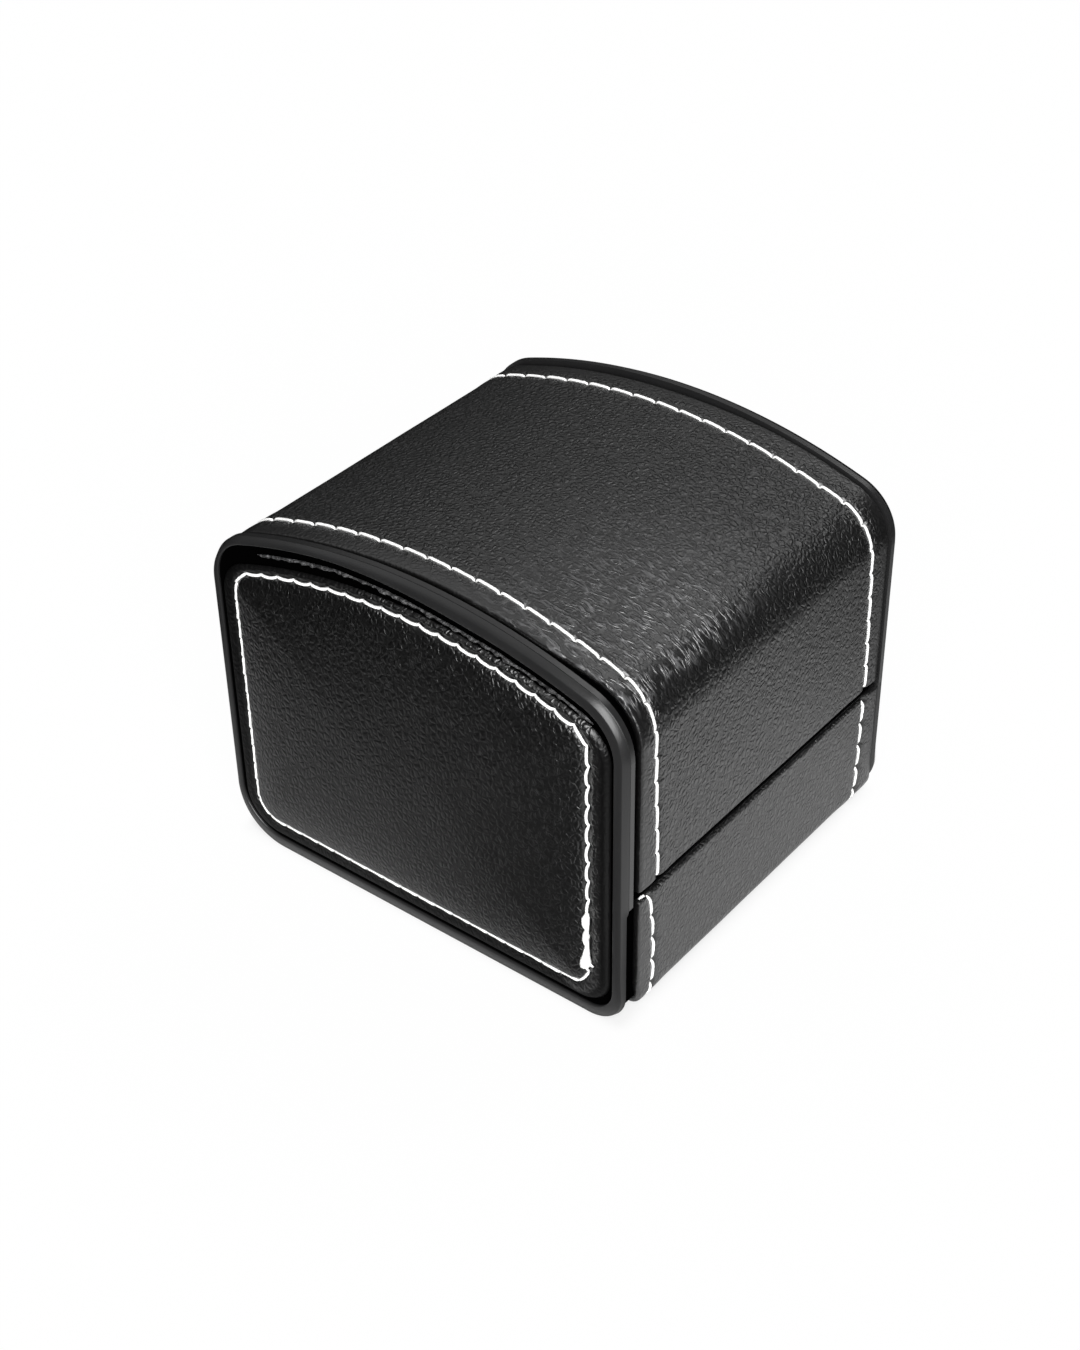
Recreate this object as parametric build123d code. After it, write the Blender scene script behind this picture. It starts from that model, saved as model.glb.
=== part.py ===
from build123d import *
from math import radians, sqrt, tan
import os

# Pocket watch display box: a leather-covered clamshell with an arched lid.
#
# Frame: origin at the middle of the footprint on the table, +Z up.  The box opens at the front,
# which faces -Y, and its hinges are along the back, +Y.  The two end plates face -X and +X.
# All sizes are in millimetres.
#
# Both full-height end plates belong to the lid.  They hang past the ends of the base, so that
# the closed box looks like one arched block between two framed ends.

# ---- outside of the box ------------------------------------------------------------------
BOX_WIDTH = 100.0            # front to back, over the end plates
BOX_HEIGHT = 82.0            # table to the top of the arch
RIM_SPAN = 91.0              # between the outer faces of the two rims
SHOULDER_HEIGHT = 72.0       # where a side line would meet the arch
SHOULDER_RADIUS = 12.5
FRONT_FOOT_RADIUS = 8.0      # the plates' feet are squarer in front
REAR_FOOT_RADIUS = 12.5
PARTING_HEIGHT = 29.5        # the plane between base and lid
PLATE_GROUND_GAP = 0.3       # keeps the swinging plates off the table

# ---- walls and skins ---------------------------------------------------------------------
PLATE_THICKNESS = 1.5
PLATE_EDGE_RADIUS = 1.2
RIM_WIDTH = 2.4
RIM_TOP_WIDTH = 2.9          # the rim is a little wider round the arch
RIM_INNER_BREAK = 0.3
POCKET_DEPTH = 0.8           # recess that holds the padded panel
FLANGE_THICKNESS = 1.2       # flange at each end of the lid shell, flush with the plate
END_WALL = 2.2
SIDE_WALL = 2.2
LEATHER = 1.3
LEATHER_INSET = 0.5          # leather surface behind the rim outline
LEATHER_EDGE_ROLL = 0.9
LID_GROOVE = 1.7             # dark groove between flange and lid leather
PARTING_GAP = 0.2            # between the shells
LEATHER_PARTING_GAP = 1.5    # between the two leather edges
REBATE_HEIGHT = 0.6          # step in both front walls that leaves a shadow line at the parting
REBATE_DEPTH = 1.0

# ---- padded end panels -------------------------------------------------------------------
PANEL_SIDE_GAP = 0.3
PANEL_TOP_GAP = 2.9          # the recess is open above the panel
PANEL_PROUD = 1.5            # how far the panel swells past the rim
PANEL_BOARD = 0.8
PANEL_LEATHER = 0.8
PANEL_SHOULDER_RADIUS = 8.0
PANEL_FRONT_FOOT_RADIUS = 6.5
PANEL_REAR_FOOT_RADIUS = 9.0
PANEL_ROLL = 2.0
FOAM_BREAK = 0.6
PEG_RADIUS = 1.5
PEG_PLACES = [(-30.0, 40.0), (30.0, 40.0), (-28.0, 62.0), (28.0, 62.0)]   # y, z

# ---- base --------------------------------------------------------------------------------
BASE_END_GAP = 1.8           # between a hanging plate and the end of the base
BASE_END_WALL = 1.5
BASE_LEATHER_SPAN = 80.4
BASE_UNDERSIDE = 0.8         # the felt stands this far below the leather
BASE_FOOT_RADIUS = 4.0
TRAY_FOOT_RADIUS = 5.5       # inside of the base shell
BASE_FLOOR = 2.0
FELT_LENGTH = 76.0
FELT_WIDTH = 78.0
FELT_RADIUS = 4.0

# ---- linings and pad ---------------------------------------------------------------------
LINER_GAP = 0.3
LINER_WALL = 1.2
LINER_LIP = 2.5              # the liner stands above the parting plane and centres the lid
LINER_LIP_ROLL = 0.5
LID_LINING = 0.9
LINING_START = 3.2           # the lid lining begins above the lip
PAD_GAP = 0.3
PAD_TOP = 28.5
PAD_BOARD = 1.5
PAD_EDGE_RADIUS = 4.0
PAD_TOP_ROLL = 2.0
NEST_MOUTH_BREAK = 1.0
NEST_CORNER_RADIUS = 3.0
VELVET = 0.8
WELL_RADIUS = 27.0           # nest for a pocket watch of about 50 mm
WELL_CENTRE_Y = -6.0
WELL_DEPTH = 13.0
BOW_SLOT_WIDTH = 18.0        # room for the crown and the bow
BOW_SLOT_END_Y = 36.0
FINGER_RADIUS = 10.0
FINGER_PLACE_X = 26.0
FINGER_DEPTH = 11.0

# ---- snap hinges -------------------------------------------------------------------------
HINGE_PLACES_X = {"left": -22.0, "right": 22.0}
HINGE_AXIS_Y = 47.6
HINGE_WIDTH = 24.0
KNUCKLE_RADIUS = 1.6
LEAF = 0.8
LEAF_REACH = 13.5            # from the axis to the end of a leaf
MIDDLE_KNUCKLE = 11.4
KNUCKLE_GAP = 0.3
PIN_RADIUS = 0.75
PIN_CLEARANCE = 0.05
LEAF_POCKET_CLEARANCE = 0.1
KNUCKLE_CLEARANCE = 0.35
RIVET_RADIUS = 0.9
RIVET_HEAD_RADIUS = 1.5
RIVET_SPACING = 16.0
RIVET_REACH = 8.5            # from the axis
RIVET_LENGTH = 1.9
SPRING_WIDTH = 8.0
SPRING_STRIP = 0.4
SPRING_LENGTH = 9.5
SPRING_TOE = 0.8
SPRING_CLEARANCE = 0.35
SWING_BEVEL = 49.0           # degrees, on each side of the parting plane behind the axis

# ---- worked out from the sizes above -------------------------------------------------------
HALF_WIDTH = BOX_WIDTH / 2
ARCH_RISE = BOX_HEIGHT - SHOULDER_HEIGHT
ARCH_RADIUS = (HALF_WIDTH**2 + ARCH_RISE**2) / (2 * ARCH_RISE)
ARCH_CENTRE_Z = BOX_HEIGHT - ARCH_RADIUS
RIM_X = RIM_SPAN / 2
PLATE_BACK_X = RIM_X - PLATE_THICKNESS
POCKET_FLOOR_X = RIM_X - POCKET_DEPTH
FLANGE_X = PLATE_BACK_X - FLANGE_THICKNESS
LID_LEATHER_X = FLANGE_X - LID_GROOVE
LID_INNER_X = PLATE_BACK_X - END_WALL
BASE_END_X = PLATE_BACK_X - BASE_END_GAP
BASE_INNER_X = BASE_END_X - BASE_END_WALL
BASE_LEATHER_X = BASE_LEATHER_SPAN / 2
SHELL_INSET = LEATHER_INSET + LEATHER
CAVITY_INSET = SHELL_INSET + SIDE_WALL
BASE_SHELL_BOTTOM = BASE_UNDERSIDE + LEATHER
BASE_FLOOR_TOP = BASE_SHELL_BOTTOM + BASE_FLOOR
LINER_FLOOR_TOP = BASE_FLOOR_TOP + LINER_WALL
LEAF_Y = HINGE_AXIS_Y - KNUCKLE_RADIUS
HINGE_AXIS = Location((0, HINGE_AXIS_Y, PARTING_HEIGHT))
FAR = 200.0                  # longer than the box, for cuts that go right through


def arched_face(side, top, bottom_z, shoulder_radius, foot_radii=(0, 0)):
    """Arched outline in the YZ plane, moved in from the box outline by side and top.

    Its front and its rear foot have radii of their own.
    """
    half = HALF_WIDTH - side
    shoulder_z = ARCH_CENTRE_Z + sqrt((ARCH_RADIUS - top)**2 - half**2)
    right_foot = (half, bottom_z)
    right_shoulder = (half, shoulder_z)
    left_shoulder = (-half, shoulder_z)
    left_foot = (-half, bottom_z)
    edges = [
        Line(left_foot, right_foot),
        Line(right_foot, right_shoulder),
        ThreePointArc(right_shoulder, (0, BOX_HEIGHT - top), left_shoulder),
        Line(left_shoulder, left_foot),
    ]
    face = make_face(edges)
    for foot, radius in zip((left_foot, right_foot), foot_radii):
        if radius:
            face = fillet(face.vertices().sort_by_distance(foot)[:1], radius)
    return fillet(face.vertices().sort_by(Axis.Y)[-2:], shoulder_radius)


def tub_face(half, bottom_z, top_z, foot_radius):
    """Upright wall section in the YZ plane with rounded lower corners."""
    face = Pos(0, (bottom_z + top_z) / 2) * Rectangle(2 * half, top_z - bottom_z)
    corners = face.vertices().sort_by(Axis.Y)
    return fillet(corners[:2], foot_radius)


def along_x(face, x_from, x_to):
    """Extrude a YZ outline from one x to another."""
    return extrude(Plane.YZ.offset(x_from) * face, amount=x_to - x_from)


def block(x, y, z):
    """Box between pairs of limits."""
    size = Box(x[1] - x[0], y[1] - y[0], z[1] - z[0])
    return Pos((x[0] + x[1]) / 2, (y[0] + y[1]) / 2, (z[0] + z[1]) / 2) * size


def below(height):
    return block((-FAR, FAR), (-FAR, FAR), (-FAR, height))


def x_cylinder(radius, length, x_centre=0.0):
    """Cylinder on the hinge axis."""
    return HINGE_AXIS * Pos(x_centre, 0, 0) * Rot(0, 90, 0) * Cylinder(radius, length)


def swing_bevel(upwards):
    """Wedge behind the hinge axis that is cut away so the lid can swing down behind the base."""
    reach = 8.0
    rise = reach * tan(radians(SWING_BEVEL)) * (1 if upwards else -1)
    start = (HINGE_AXIS_Y, PARTING_HEIGHT)
    wedge = make_face(Polyline(
        start,
        (HINGE_AXIS_Y + reach, PARTING_HEIGHT),
        (HINGE_AXIS_Y + reach, PARTING_HEIGHT + rise),
        start,
    ))
    return along_x(wedge, -FAR, FAR)


def hinge_room(upwards):
    """Everything that a wall gives up to the two hinges: knuckle slot, leaf pocket, rivet holes."""
    room = []
    way = 1 if upwards else -1
    for x in HINGE_PLACES_X.values():
        slot_length = HINGE_WIDTH + 2 * KNUCKLE_GAP
        room.append(x_cylinder(KNUCKLE_RADIUS + KNUCKLE_CLEARANCE, slot_length, x))
        half = HINGE_WIDTH / 2 + LEAF_POCKET_CLEARANCE
        end = PARTING_HEIGHT + way * (LEAF_REACH + LEAF_POCKET_CLEARANCE)
        room.append(block(
            (x - half, x + half),
            (LEAF_Y - 1.0, LEAF_Y + LEAF + LEAF_POCKET_CLEARANCE / 2),
            (min(PARTING_HEIGHT, end), max(PARTING_HEIGHT, end)),
        ))
        room += [rivet(place, way) for place in rivet_places(x)]
    return room


def rivet_places(hinge_x):
    return [hinge_x - RIVET_SPACING / 2, hinge_x + RIVET_SPACING / 2]


def rivet(x, way):
    """Flush rivet through a leaf and into the wall behind it."""
    place = Pos(x, LEAF_Y, PARTING_HEIGHT + way * RIVET_REACH) * Rot(-90, 0, 0)
    shank = place * Pos(0, 0, RIVET_LENGTH / 2) * Cylinder(RIVET_RADIUS, RIVET_LENGTH)
    head_depth = RIVET_HEAD_RADIUS - RIVET_RADIUS
    head = place * Pos(0, 0, head_depth / 2) * Cone(RIVET_HEAD_RADIUS, RIVET_RADIUS, head_depth)
    return shank + head


def shadow_rebate(upwards):
    """Strip that a front wall gives up beside the parting plane."""
    edge = PARTING_HEIGHT + (REBATE_HEIGHT if upwards else -REBATE_HEIGHT)
    return block(
        (-LID_LEATHER_X, LID_LEATHER_X),
        (-HALF_WIDTH, -HALF_WIDTH + SHELL_INSET + REBATE_DEPTH),
        (min(PARTING_HEIGHT, edge), max(PARTING_HEIGHT, edge)),
    )


# ---- the lid -------------------------------------------------------------------------------
def end_plate():
    """Right-hand end plate: raised rim, pocket for the panel, and four pegs on its back."""
    foot_radii = (FRONT_FOOT_RADIUS, REAR_FOOT_RADIUS)
    outline = arched_face(0, 0, PLATE_GROUND_GAP, SHOULDER_RADIUS, foot_radii)
    plate = along_x(outline, PLATE_BACK_X, RIM_X)
    plate = fillet(plate.faces().sort_by(Axis.X)[-1].edges(), PLATE_EDGE_RADIUS)
    pocket = arched_face(
        RIM_WIDTH,
        RIM_TOP_WIDTH,
        PLATE_GROUND_GAP + RIM_WIDTH,
        SHOULDER_RADIUS - RIM_WIDTH,
        (FRONT_FOOT_RADIUS - RIM_WIDTH, REAR_FOOT_RADIUS - RIM_WIDTH),
    )
    plate -= along_x(pocket, POCKET_FLOOR_X, RIM_X + 1)
    mouth = plate.faces().filter_by(Axis.X).sort_by(Axis.X)[-1]
    plate = chamfer(mouth.inner_wires()[0].edges(), RIM_INNER_BREAK)
    for y, z in PEG_PLACES:
        peg = Rot(0, 90, 0) * Cylinder(PEG_RADIUS, END_WALL)
        plate += Pos(PLATE_BACK_X - END_WALL / 2, y, z) * peg
    return plate


def panel_face(shrink):
    """Outline of the padded panel; the recess above it stays open."""
    side = RIM_WIDTH + PANEL_SIDE_GAP + shrink
    return arched_face(
        side,
        RIM_TOP_WIDTH + PANEL_TOP_GAP + shrink,
        PLATE_GROUND_GAP + side,
        PANEL_SHOULDER_RADIUS - shrink,
        (PANEL_FRONT_FOOT_RADIUS - shrink, PANEL_REAR_FOOT_RADIUS - shrink),
    )


def panel_pieces():
    """Board, foam and leather of the right-hand panel."""
    crown_x = RIM_X + PANEL_PROUD
    cover = along_x(panel_face(0), POCKET_FLOOR_X, crown_x)
    cover = fillet(cover.faces().sort_by(Axis.X)[-1].edges(), PANEL_ROLL)
    filling = along_x(panel_face(PANEL_LEATHER), POCKET_FLOOR_X, crown_x - PANEL_LEATHER)
    filling = chamfer(filling.faces().sort_by(Axis.X)[-1].edges(), FOAM_BREAK)
    board_x = POCKET_FLOOR_X + PANEL_BOARD
    board = filling & block((0, board_x), (-FAR, FAR), (-FAR, FAR))
    foam = filling & block((board_x, FAR), (-FAR, FAR), (-FAR, FAR))
    return board, foam, cover - filling


def lid_shell():
    """Moulded arch with closed ends; each end carries a flange of the full outline."""
    body = along_x(
        arched_face(SHELL_INSET, SHELL_INSET, 0, SHOULDER_RADIUS - SHELL_INSET),
        -FLANGE_X,
        FLANGE_X,
    )
    flange = arched_face(0, 0, 0, SHOULDER_RADIUS)
    body += along_x(flange, FLANGE_X, PLATE_BACK_X)
    body += along_x(flange, -PLATE_BACK_X, -FLANGE_X)
    body -= along_x(
        arched_face(CAVITY_INSET, CAVITY_INSET, -1, SHOULDER_RADIUS - CAVITY_INSET),
        -LID_INNER_X,
        LID_INNER_X,
    )
    body -= below(PARTING_HEIGHT + PARTING_GAP / 2)
    body -= shadow_rebate(upwards=True)
    body -= swing_bevel(upwards=True)
    for side in (-1, 1):
        for y, z in PEG_PLACES:
            hole = Rot(0, 90, 0) * Cylinder(PEG_RADIUS, 2 * END_WALL)
            body -= Pos(side * PLATE_BACK_X, y, z) * hole
    for piece in hinge_room(upwards=True):
        body -= piece
    return body


def lid_leather():
    """Leather saddle over the arch and down both sides of the lid."""
    outer = arched_face(LEATHER_INSET, LEATHER_INSET, 0, SHOULDER_RADIUS - LEATHER_INSET)
    inner = arched_face(SHELL_INSET, SHELL_INSET, -1, SHOULDER_RADIUS - SHELL_INSET)
    saddle = along_x(outer, -LID_LEATHER_X, LID_LEATHER_X)
    saddle = fillet(
        saddle.faces().sort_by(Axis.X)[-1].edges().filter_by(lambda edge: edge.center().Z > 1)
        + saddle.faces().sort_by(Axis.X)[0].edges().filter_by(lambda edge: edge.center().Z > 1),
        LEATHER_EDGE_ROLL,
    )
    saddle -= along_x(inner, -FAR, FAR)
    saddle -= below(PARTING_HEIGHT + LEATHER_PARTING_GAP / 2)
    saddle -= swing_bevel(upwards=True)
    for piece in hinge_room(upwards=True):
        saddle -= piece
    return saddle


def lid_linings():
    """Arched lining, and one flat lining for each end wall."""
    start = PARTING_HEIGHT + LINING_START
    outer = arched_face(CAVITY_INSET, CAVITY_INSET, start, SHOULDER_RADIUS - CAVITY_INSET)
    lined = CAVITY_INSET + LID_LINING
    inner = arched_face(lined, lined, start, SHOULDER_RADIUS - lined)
    arch = along_x(outer, -LID_INNER_X, LID_INNER_X) - along_x(inner, -FAR, FAR)
    end = along_x(inner, LID_INNER_X - LID_LINING, LID_INNER_X)
    return arch, end


# ---- the base ------------------------------------------------------------------------------
def base_shell():
    """Moulded tray."""
    outer = tub_face(
        HALF_WIDTH - SHELL_INSET,
        BASE_SHELL_BOTTOM,
        PARTING_HEIGHT - PARTING_GAP / 2,
        BASE_FOOT_RADIUS - LEATHER,
    )
    inner = tub_face(
        HALF_WIDTH - CAVITY_INSET,
        BASE_FLOOR_TOP,
        PARTING_HEIGHT + 1,
        TRAY_FOOT_RADIUS,
    )
    body = along_x(outer, -BASE_END_X, BASE_END_X)
    body -= along_x(inner, -BASE_INNER_X, BASE_INNER_X)
    body -= shadow_rebate(upwards=False)
    body -= swing_bevel(upwards=False)
    for piece in hinge_room(upwards=False):
        body -= piece
    for x in HINGE_PLACES_X.values():
        body -= spring_room(x)
    return body


def base_leather():
    """One strip of leather up the front, under the tray and up the back."""
    top = PARTING_HEIGHT - LEATHER_PARTING_GAP / 2
    outer = tub_face(HALF_WIDTH - LEATHER_INSET, BASE_UNDERSIDE, top, BASE_FOOT_RADIUS)
    inner = tub_face(
        HALF_WIDTH - SHELL_INSET,
        BASE_SHELL_BOTTOM,
        PARTING_HEIGHT + 1,
        BASE_FOOT_RADIUS - LEATHER,
    )
    wrap = along_x(outer, -BASE_LEATHER_X, BASE_LEATHER_X)
    ends = wrap.faces().sort_by(Axis.X)
    wrap = fillet(
        ends[-1].edges().filter_by(lambda edge: edge.center().Z < top - 1)
        + ends[0].edges().filter_by(lambda edge: edge.center().Z < top - 1),
        LEATHER_EDGE_ROLL,
    )
    wrap -= along_x(inner, -FAR, FAR)
    wrap -= swing_bevel(upwards=False)
    for piece in hinge_room(upwards=False):
        wrap -= piece
    return wrap


def base_felt():
    return extrude(RectangleRounded(FELT_LENGTH, FELT_WIDTH, FELT_RADIUS), BASE_UNDERSIDE)


def base_liner():
    """Thin tray inside the base; its lip stands up into the lid."""
    top = PARTING_HEIGHT + LINER_LIP
    radius = TRAY_FOOT_RADIUS - LINER_GAP
    half = HALF_WIDTH - CAVITY_INSET - LINER_GAP
    end = BASE_INNER_X - LINER_GAP
    tray = along_x(tub_face(half, BASE_FLOOR_TOP, top, radius), -end, end)
    hollow = tub_face(half - LINER_WALL, LINER_FLOOR_TOP, top + 1, radius - LINER_WALL)
    inner_end = end - LINER_WALL
    tray -= along_x(hollow, -inner_end, inner_end)
    return fillet(tray.faces().sort_by(Axis.Z)[-1].edges(), LINER_LIP_ROLL)


# ---- the pad -------------------------------------------------------------------------------
def nest_outline(skin, with_fingers):
    """Plan of the watch nest: round well, slot for the bow and, near the top, two finger scoops."""
    plan = Pos(0, WELL_CENTRE_Y) * Circle(WELL_RADIUS + skin)
    slot_length = BOW_SLOT_END_Y - WELL_CENTRE_Y + skin
    slot = Pos(0, WELL_CENTRE_Y + slot_length / 2) * Rectangle(BOW_SLOT_WIDTH + 2 * skin, slot_length)
    plan += fillet(slot.vertices().sort_by(Axis.Y)[-2:], BOW_SLOT_WIDTH / 3)
    if with_fingers:
        for x in (-FINGER_PLACE_X, FINGER_PLACE_X):
            plan += Pos(x, WELL_CENTRE_Y) * Circle(FINGER_RADIUS + skin)
    meeting = [
        corner for corner in plan.vertices()
        if abs((Vector(corner) - Vector(0, WELL_CENTRE_Y)).length - WELL_RADIUS - skin) < 0.01
    ]
    return fillet(meeting, NEST_CORNER_RADIUS)


def pad_block(skin):
    """The pad with its watch nest, drawn in by skin on every covered face."""
    half_y = HALF_WIDTH - CAVITY_INSET - LINER_GAP - LINER_WALL - PAD_GAP - skin
    half_x = BASE_INNER_X - LINER_GAP - LINER_WALL - PAD_GAP - skin
    bottom = LINER_FLOOR_TOP + PAD_GAP / 2 + (PAD_BOARD if skin else 0)
    top = PAD_TOP - skin
    body = along_x(tub_face(half_y, bottom, top, PAD_EDGE_RADIUS - skin), -half_x, half_x)
    body = fillet(body.faces().sort_by(Axis.Z)[-1].edges(), PAD_TOP_ROLL)
    shallow = extrude(nest_outline(skin, with_fingers=True), FINGER_DEPTH + skin)
    deep = extrude(nest_outline(skin, with_fingers=False), WELL_DEPTH)
    body -= Pos(0, 0, top - FINGER_DEPTH) * shallow
    body -= Pos(0, 0, top - WELL_DEPTH) * deep
    if not skin:
        mouth = body.faces().sort_by(Axis.Z)[-1].inner_wires()[0]
        body = chamfer(mouth.edges(), NEST_MOUTH_BREAK)
    return body


def pad_pieces():
    """Card board, foam and velvet of the lift-out pad."""
    foam = pad_block(VELVET)
    whole = pad_block(0)
    board_top = LINER_FLOOR_TOP + PAD_GAP / 2 + PAD_BOARD
    size = foam.bounding_box().size
    edge = PAD_EDGE_RADIUS - VELVET
    board = extrude(RectangleRounded(size.X, size.Y - 2 * edge, 1.0), PAD_BOARD)
    board = Pos(0, 0, board_top - PAD_BOARD) * board
    return board, foam, whole - foam - board


# ---- the snap hinges -----------------------------------------------------------------------
def leaf(hinge_x, way):
    """Flat leaf that runs tangent into its rolled knuckles; way is up for the lid leaf."""
    half = HINGE_WIDTH / 2
    end = PARTING_HEIGHT + way * LEAF_REACH
    limits = (min(PARTING_HEIGHT, end), max(PARTING_HEIGHT, end))
    plate = block((hinge_x - half, hinge_x + half), (LEAF_Y, LEAF_Y + LEAF), limits)
    outer_knuckle = (HINGE_WIDTH - MIDDLE_KNUCKLE) / 2 - KNUCKLE_GAP
    outer_place = half - outer_knuckle / 2
    clear = KNUCKLE_RADIUS + KNUCKLE_CLEARANCE
    if way > 0:
        for x in (hinge_x - outer_place, hinge_x + outer_place):
            plate -= x_cylinder(clear, outer_knuckle + 2 * KNUCKLE_GAP, x)
        plate += x_cylinder(KNUCKLE_RADIUS, MIDDLE_KNUCKLE, hinge_x)
    else:
        plate -= x_cylinder(clear, MIDDLE_KNUCKLE + 2 * KNUCKLE_GAP, hinge_x)
        for x in (hinge_x - outer_place, hinge_x + outer_place):
            plate += x_cylinder(KNUCKLE_RADIUS, outer_knuckle, x)
    plate -= x_cylinder(PIN_RADIUS + (PIN_CLEARANCE if way > 0 else 0), FAR, hinge_x)
    for x in rivet_places(hinge_x):
        plate -= rivet(x, way)
    return plate


def spring_profile(grow):
    """Flat strip with a toe that reaches under the middle knuckle."""
    y = LEAF_Y + LEAF
    top = PARTING_HEIGHT - KNUCKLE_RADIUS - SPRING_CLEARANCE + grow
    bottom = top - SPRING_LENGTH
    toe_end = y + SPRING_STRIP + SPRING_TOE + grow
    return make_face(Polyline(
        (y, bottom - grow),
        (y + SPRING_STRIP + grow, bottom - grow),
        (y + SPRING_STRIP + grow, top - SPRING_STRIP - 2 * grow),
        (toe_end, top - SPRING_STRIP - 2 * grow),
        (toe_end, top),
        (y, top),
        (y, bottom - grow),
    ))


def spring_room(hinge_x):
    half = SPRING_WIDTH / 2 + LEAF_POCKET_CLEARANCE
    return along_x(spring_profile(LEAF_POCKET_CLEARANCE), hinge_x - half, hinge_x + half)


def snap_spring(hinge_x):
    half = SPRING_WIDTH / 2
    return along_x(spring_profile(0), hinge_x - half, hinge_x + half)


def hinge_pin(hinge_x):
    return x_cylinder(PIN_RADIUS, HINGE_WIDTH, hinge_x)


def rivet_group(way):
    rivets = []
    for hinge_x in HINGE_PLACES_X.values():
        rivets += [rivet(x, way) for x in rivet_places(hinge_x)]
    return Compound(children=rivets)


# ---- all pieces ----------------------------------------------------------------------------
def pieces():
    """Every piece of the box by node name."""
    found = {}
    plate = end_plate()
    board, foam, cover = panel_pieces()
    arch_lining, end_lining = lid_linings()
    right_side = {
        "end_plate": plate,
        "panel_board": board,
        "panel_foam": foam,
        "panel_leather": cover,
        "lid_end_lining": end_lining,
    }
    for name, solid in right_side.items():
        found["right_" + name] = solid
        found["left_" + name] = mirror(solid, about=Plane.YZ)
    found["lid_shell"] = lid_shell()
    found["lid_leather"] = lid_leather()
    found["lid_arch_lining"] = arch_lining
    found["base_shell"] = base_shell()
    found["base_leather"] = base_leather()
    found["base_felt"] = base_felt()
    found["base_liner"] = base_liner()
    found["pad_board"], found["pad_foam"], found["pad_velvet"] = pad_pieces()
    for side, x in HINGE_PLACES_X.items():
        found[side + "_hinge_lid_leaf"] = leaf(x, 1)
        found[side + "_hinge_base_leaf"] = leaf(x, -1)
        found[side + "_hinge_pin"] = hinge_pin(x)
        found[side + "_snap_spring"] = snap_spring(x)
    found["lid_hinge_rivets"] = rivet_group(1)
    found["base_hinge_rivets"] = rivet_group(-1)
    return found


def main():
    os.makedirs("parts", exist_ok=True)
    for name, solid in pieces().items():
        export_step(solid, os.path.join("parts", name + ".step"))


if __name__ == "__main__":
    main()
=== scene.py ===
from functools import partialmethod
from math import atan2, cos, hypot, pi, radians, sin, sqrt

import bmesh
import bpy
import numpy as np
from mathutils import Matrix, Vector


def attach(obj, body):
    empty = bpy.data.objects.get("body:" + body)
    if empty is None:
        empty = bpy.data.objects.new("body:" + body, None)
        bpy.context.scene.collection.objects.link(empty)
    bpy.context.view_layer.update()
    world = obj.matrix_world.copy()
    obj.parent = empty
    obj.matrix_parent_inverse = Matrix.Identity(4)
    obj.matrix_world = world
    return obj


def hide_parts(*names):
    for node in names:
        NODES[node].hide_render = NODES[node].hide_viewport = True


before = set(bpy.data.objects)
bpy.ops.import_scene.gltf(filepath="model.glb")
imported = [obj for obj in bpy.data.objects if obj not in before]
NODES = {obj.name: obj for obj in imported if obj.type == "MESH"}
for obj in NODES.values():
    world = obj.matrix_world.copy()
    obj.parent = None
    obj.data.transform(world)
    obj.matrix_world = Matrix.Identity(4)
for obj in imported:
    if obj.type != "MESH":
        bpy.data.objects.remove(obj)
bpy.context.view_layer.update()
MM = 0.001

# Pocket watch display box.  Sizes are in millimetres until a mesh is made, which is in metres.
# The end plates face -X (left) and +X (right), the box opens towards -Y and is hinged at +Y.

# ---- sizes of the box ----
HALF_WIDTH = 50.0
HEIGHT = 82.0
ARCH_RADIUS = 130.0
ARCH_CENTRE_Z = HEIGHT - ARCH_RADIUS
SHOULDER_RADIUS = 12.5
PARTING_Z = 29.5
RIM_X = 45.5
PLATE_BACK_X = 44.0
RECESS_FLOOR_X = 44.7
FLANGE_X = 42.8
PLATE_GROUND_GAP = 0.3
RIM_WIDTH = 2.4
RIM_TOP_WIDTH = 2.9
BEVEL_INSET = 0.85           # of the end plates' outer edge on their face
BEVEL_DEPTH = 1.4            # how far it runs down their outer edge
SKIRT_THINNING = 0.65        # of the left end plate where it hangs past the base
RECESS_SHIFT = 0.4           # of the recesses towards the rear
RECESS_RISE = 1.4            # of their top towards the rear
RIM_INNER_BREAK = 0.3
RIM_SOFTNESS = 0.12          # half the width of the plates' softened creases
FRONT_FOOT_RADIUS = 8.0
REAR_FOOT_RADIUS = 12.5
REBATE_Y = 46.9              # the shells carry painted shade, plain black, beyond this, beside the skins, and above this
REBATE_Z = 60.0              # and above this
LEATHER = 1.3
LEATHER_INSET = 0.5
SKIN_ROLL = 0.45             # rounding of the skins' edges
BORDER_SWELL = 0.14          # of the skins between their stitches and their edge
INNER_SWELL = 0.12           # of the skins just inside the stitches
LID_SKIN_X = 41.1
BASE_SKIN_X = 40.2
SKIN_BOTTOM_Z = 0.8
BASE_FOOT_RADIUS = 4.0
SKIN_PARTING_GAP = 2.2
LID_REACH = 1.4              # extra width of the skins at the front of their right edge
BASE_REACH = 3.4
FULL_REACH_Y = -32.0         # in front of this; it fades towards the rear
REACH_FADE = 40.0
LID_LEFT_REACH = (-1.1, 0.4)  # the same of the lid's left edge, in front and at the rear
BASE_FOOT_REACH = -1.4       # and of the base's left edge at its front foot
REAR_GAP = 2.3               # the skins stop this far from the parting plane behind the hinges
CAVITY_INSET = 4.0
CAVITY_X = 41.8
LINING = 0.9
LINING_ROLL = 0.4
LINING_START_Z = 32.7

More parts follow.
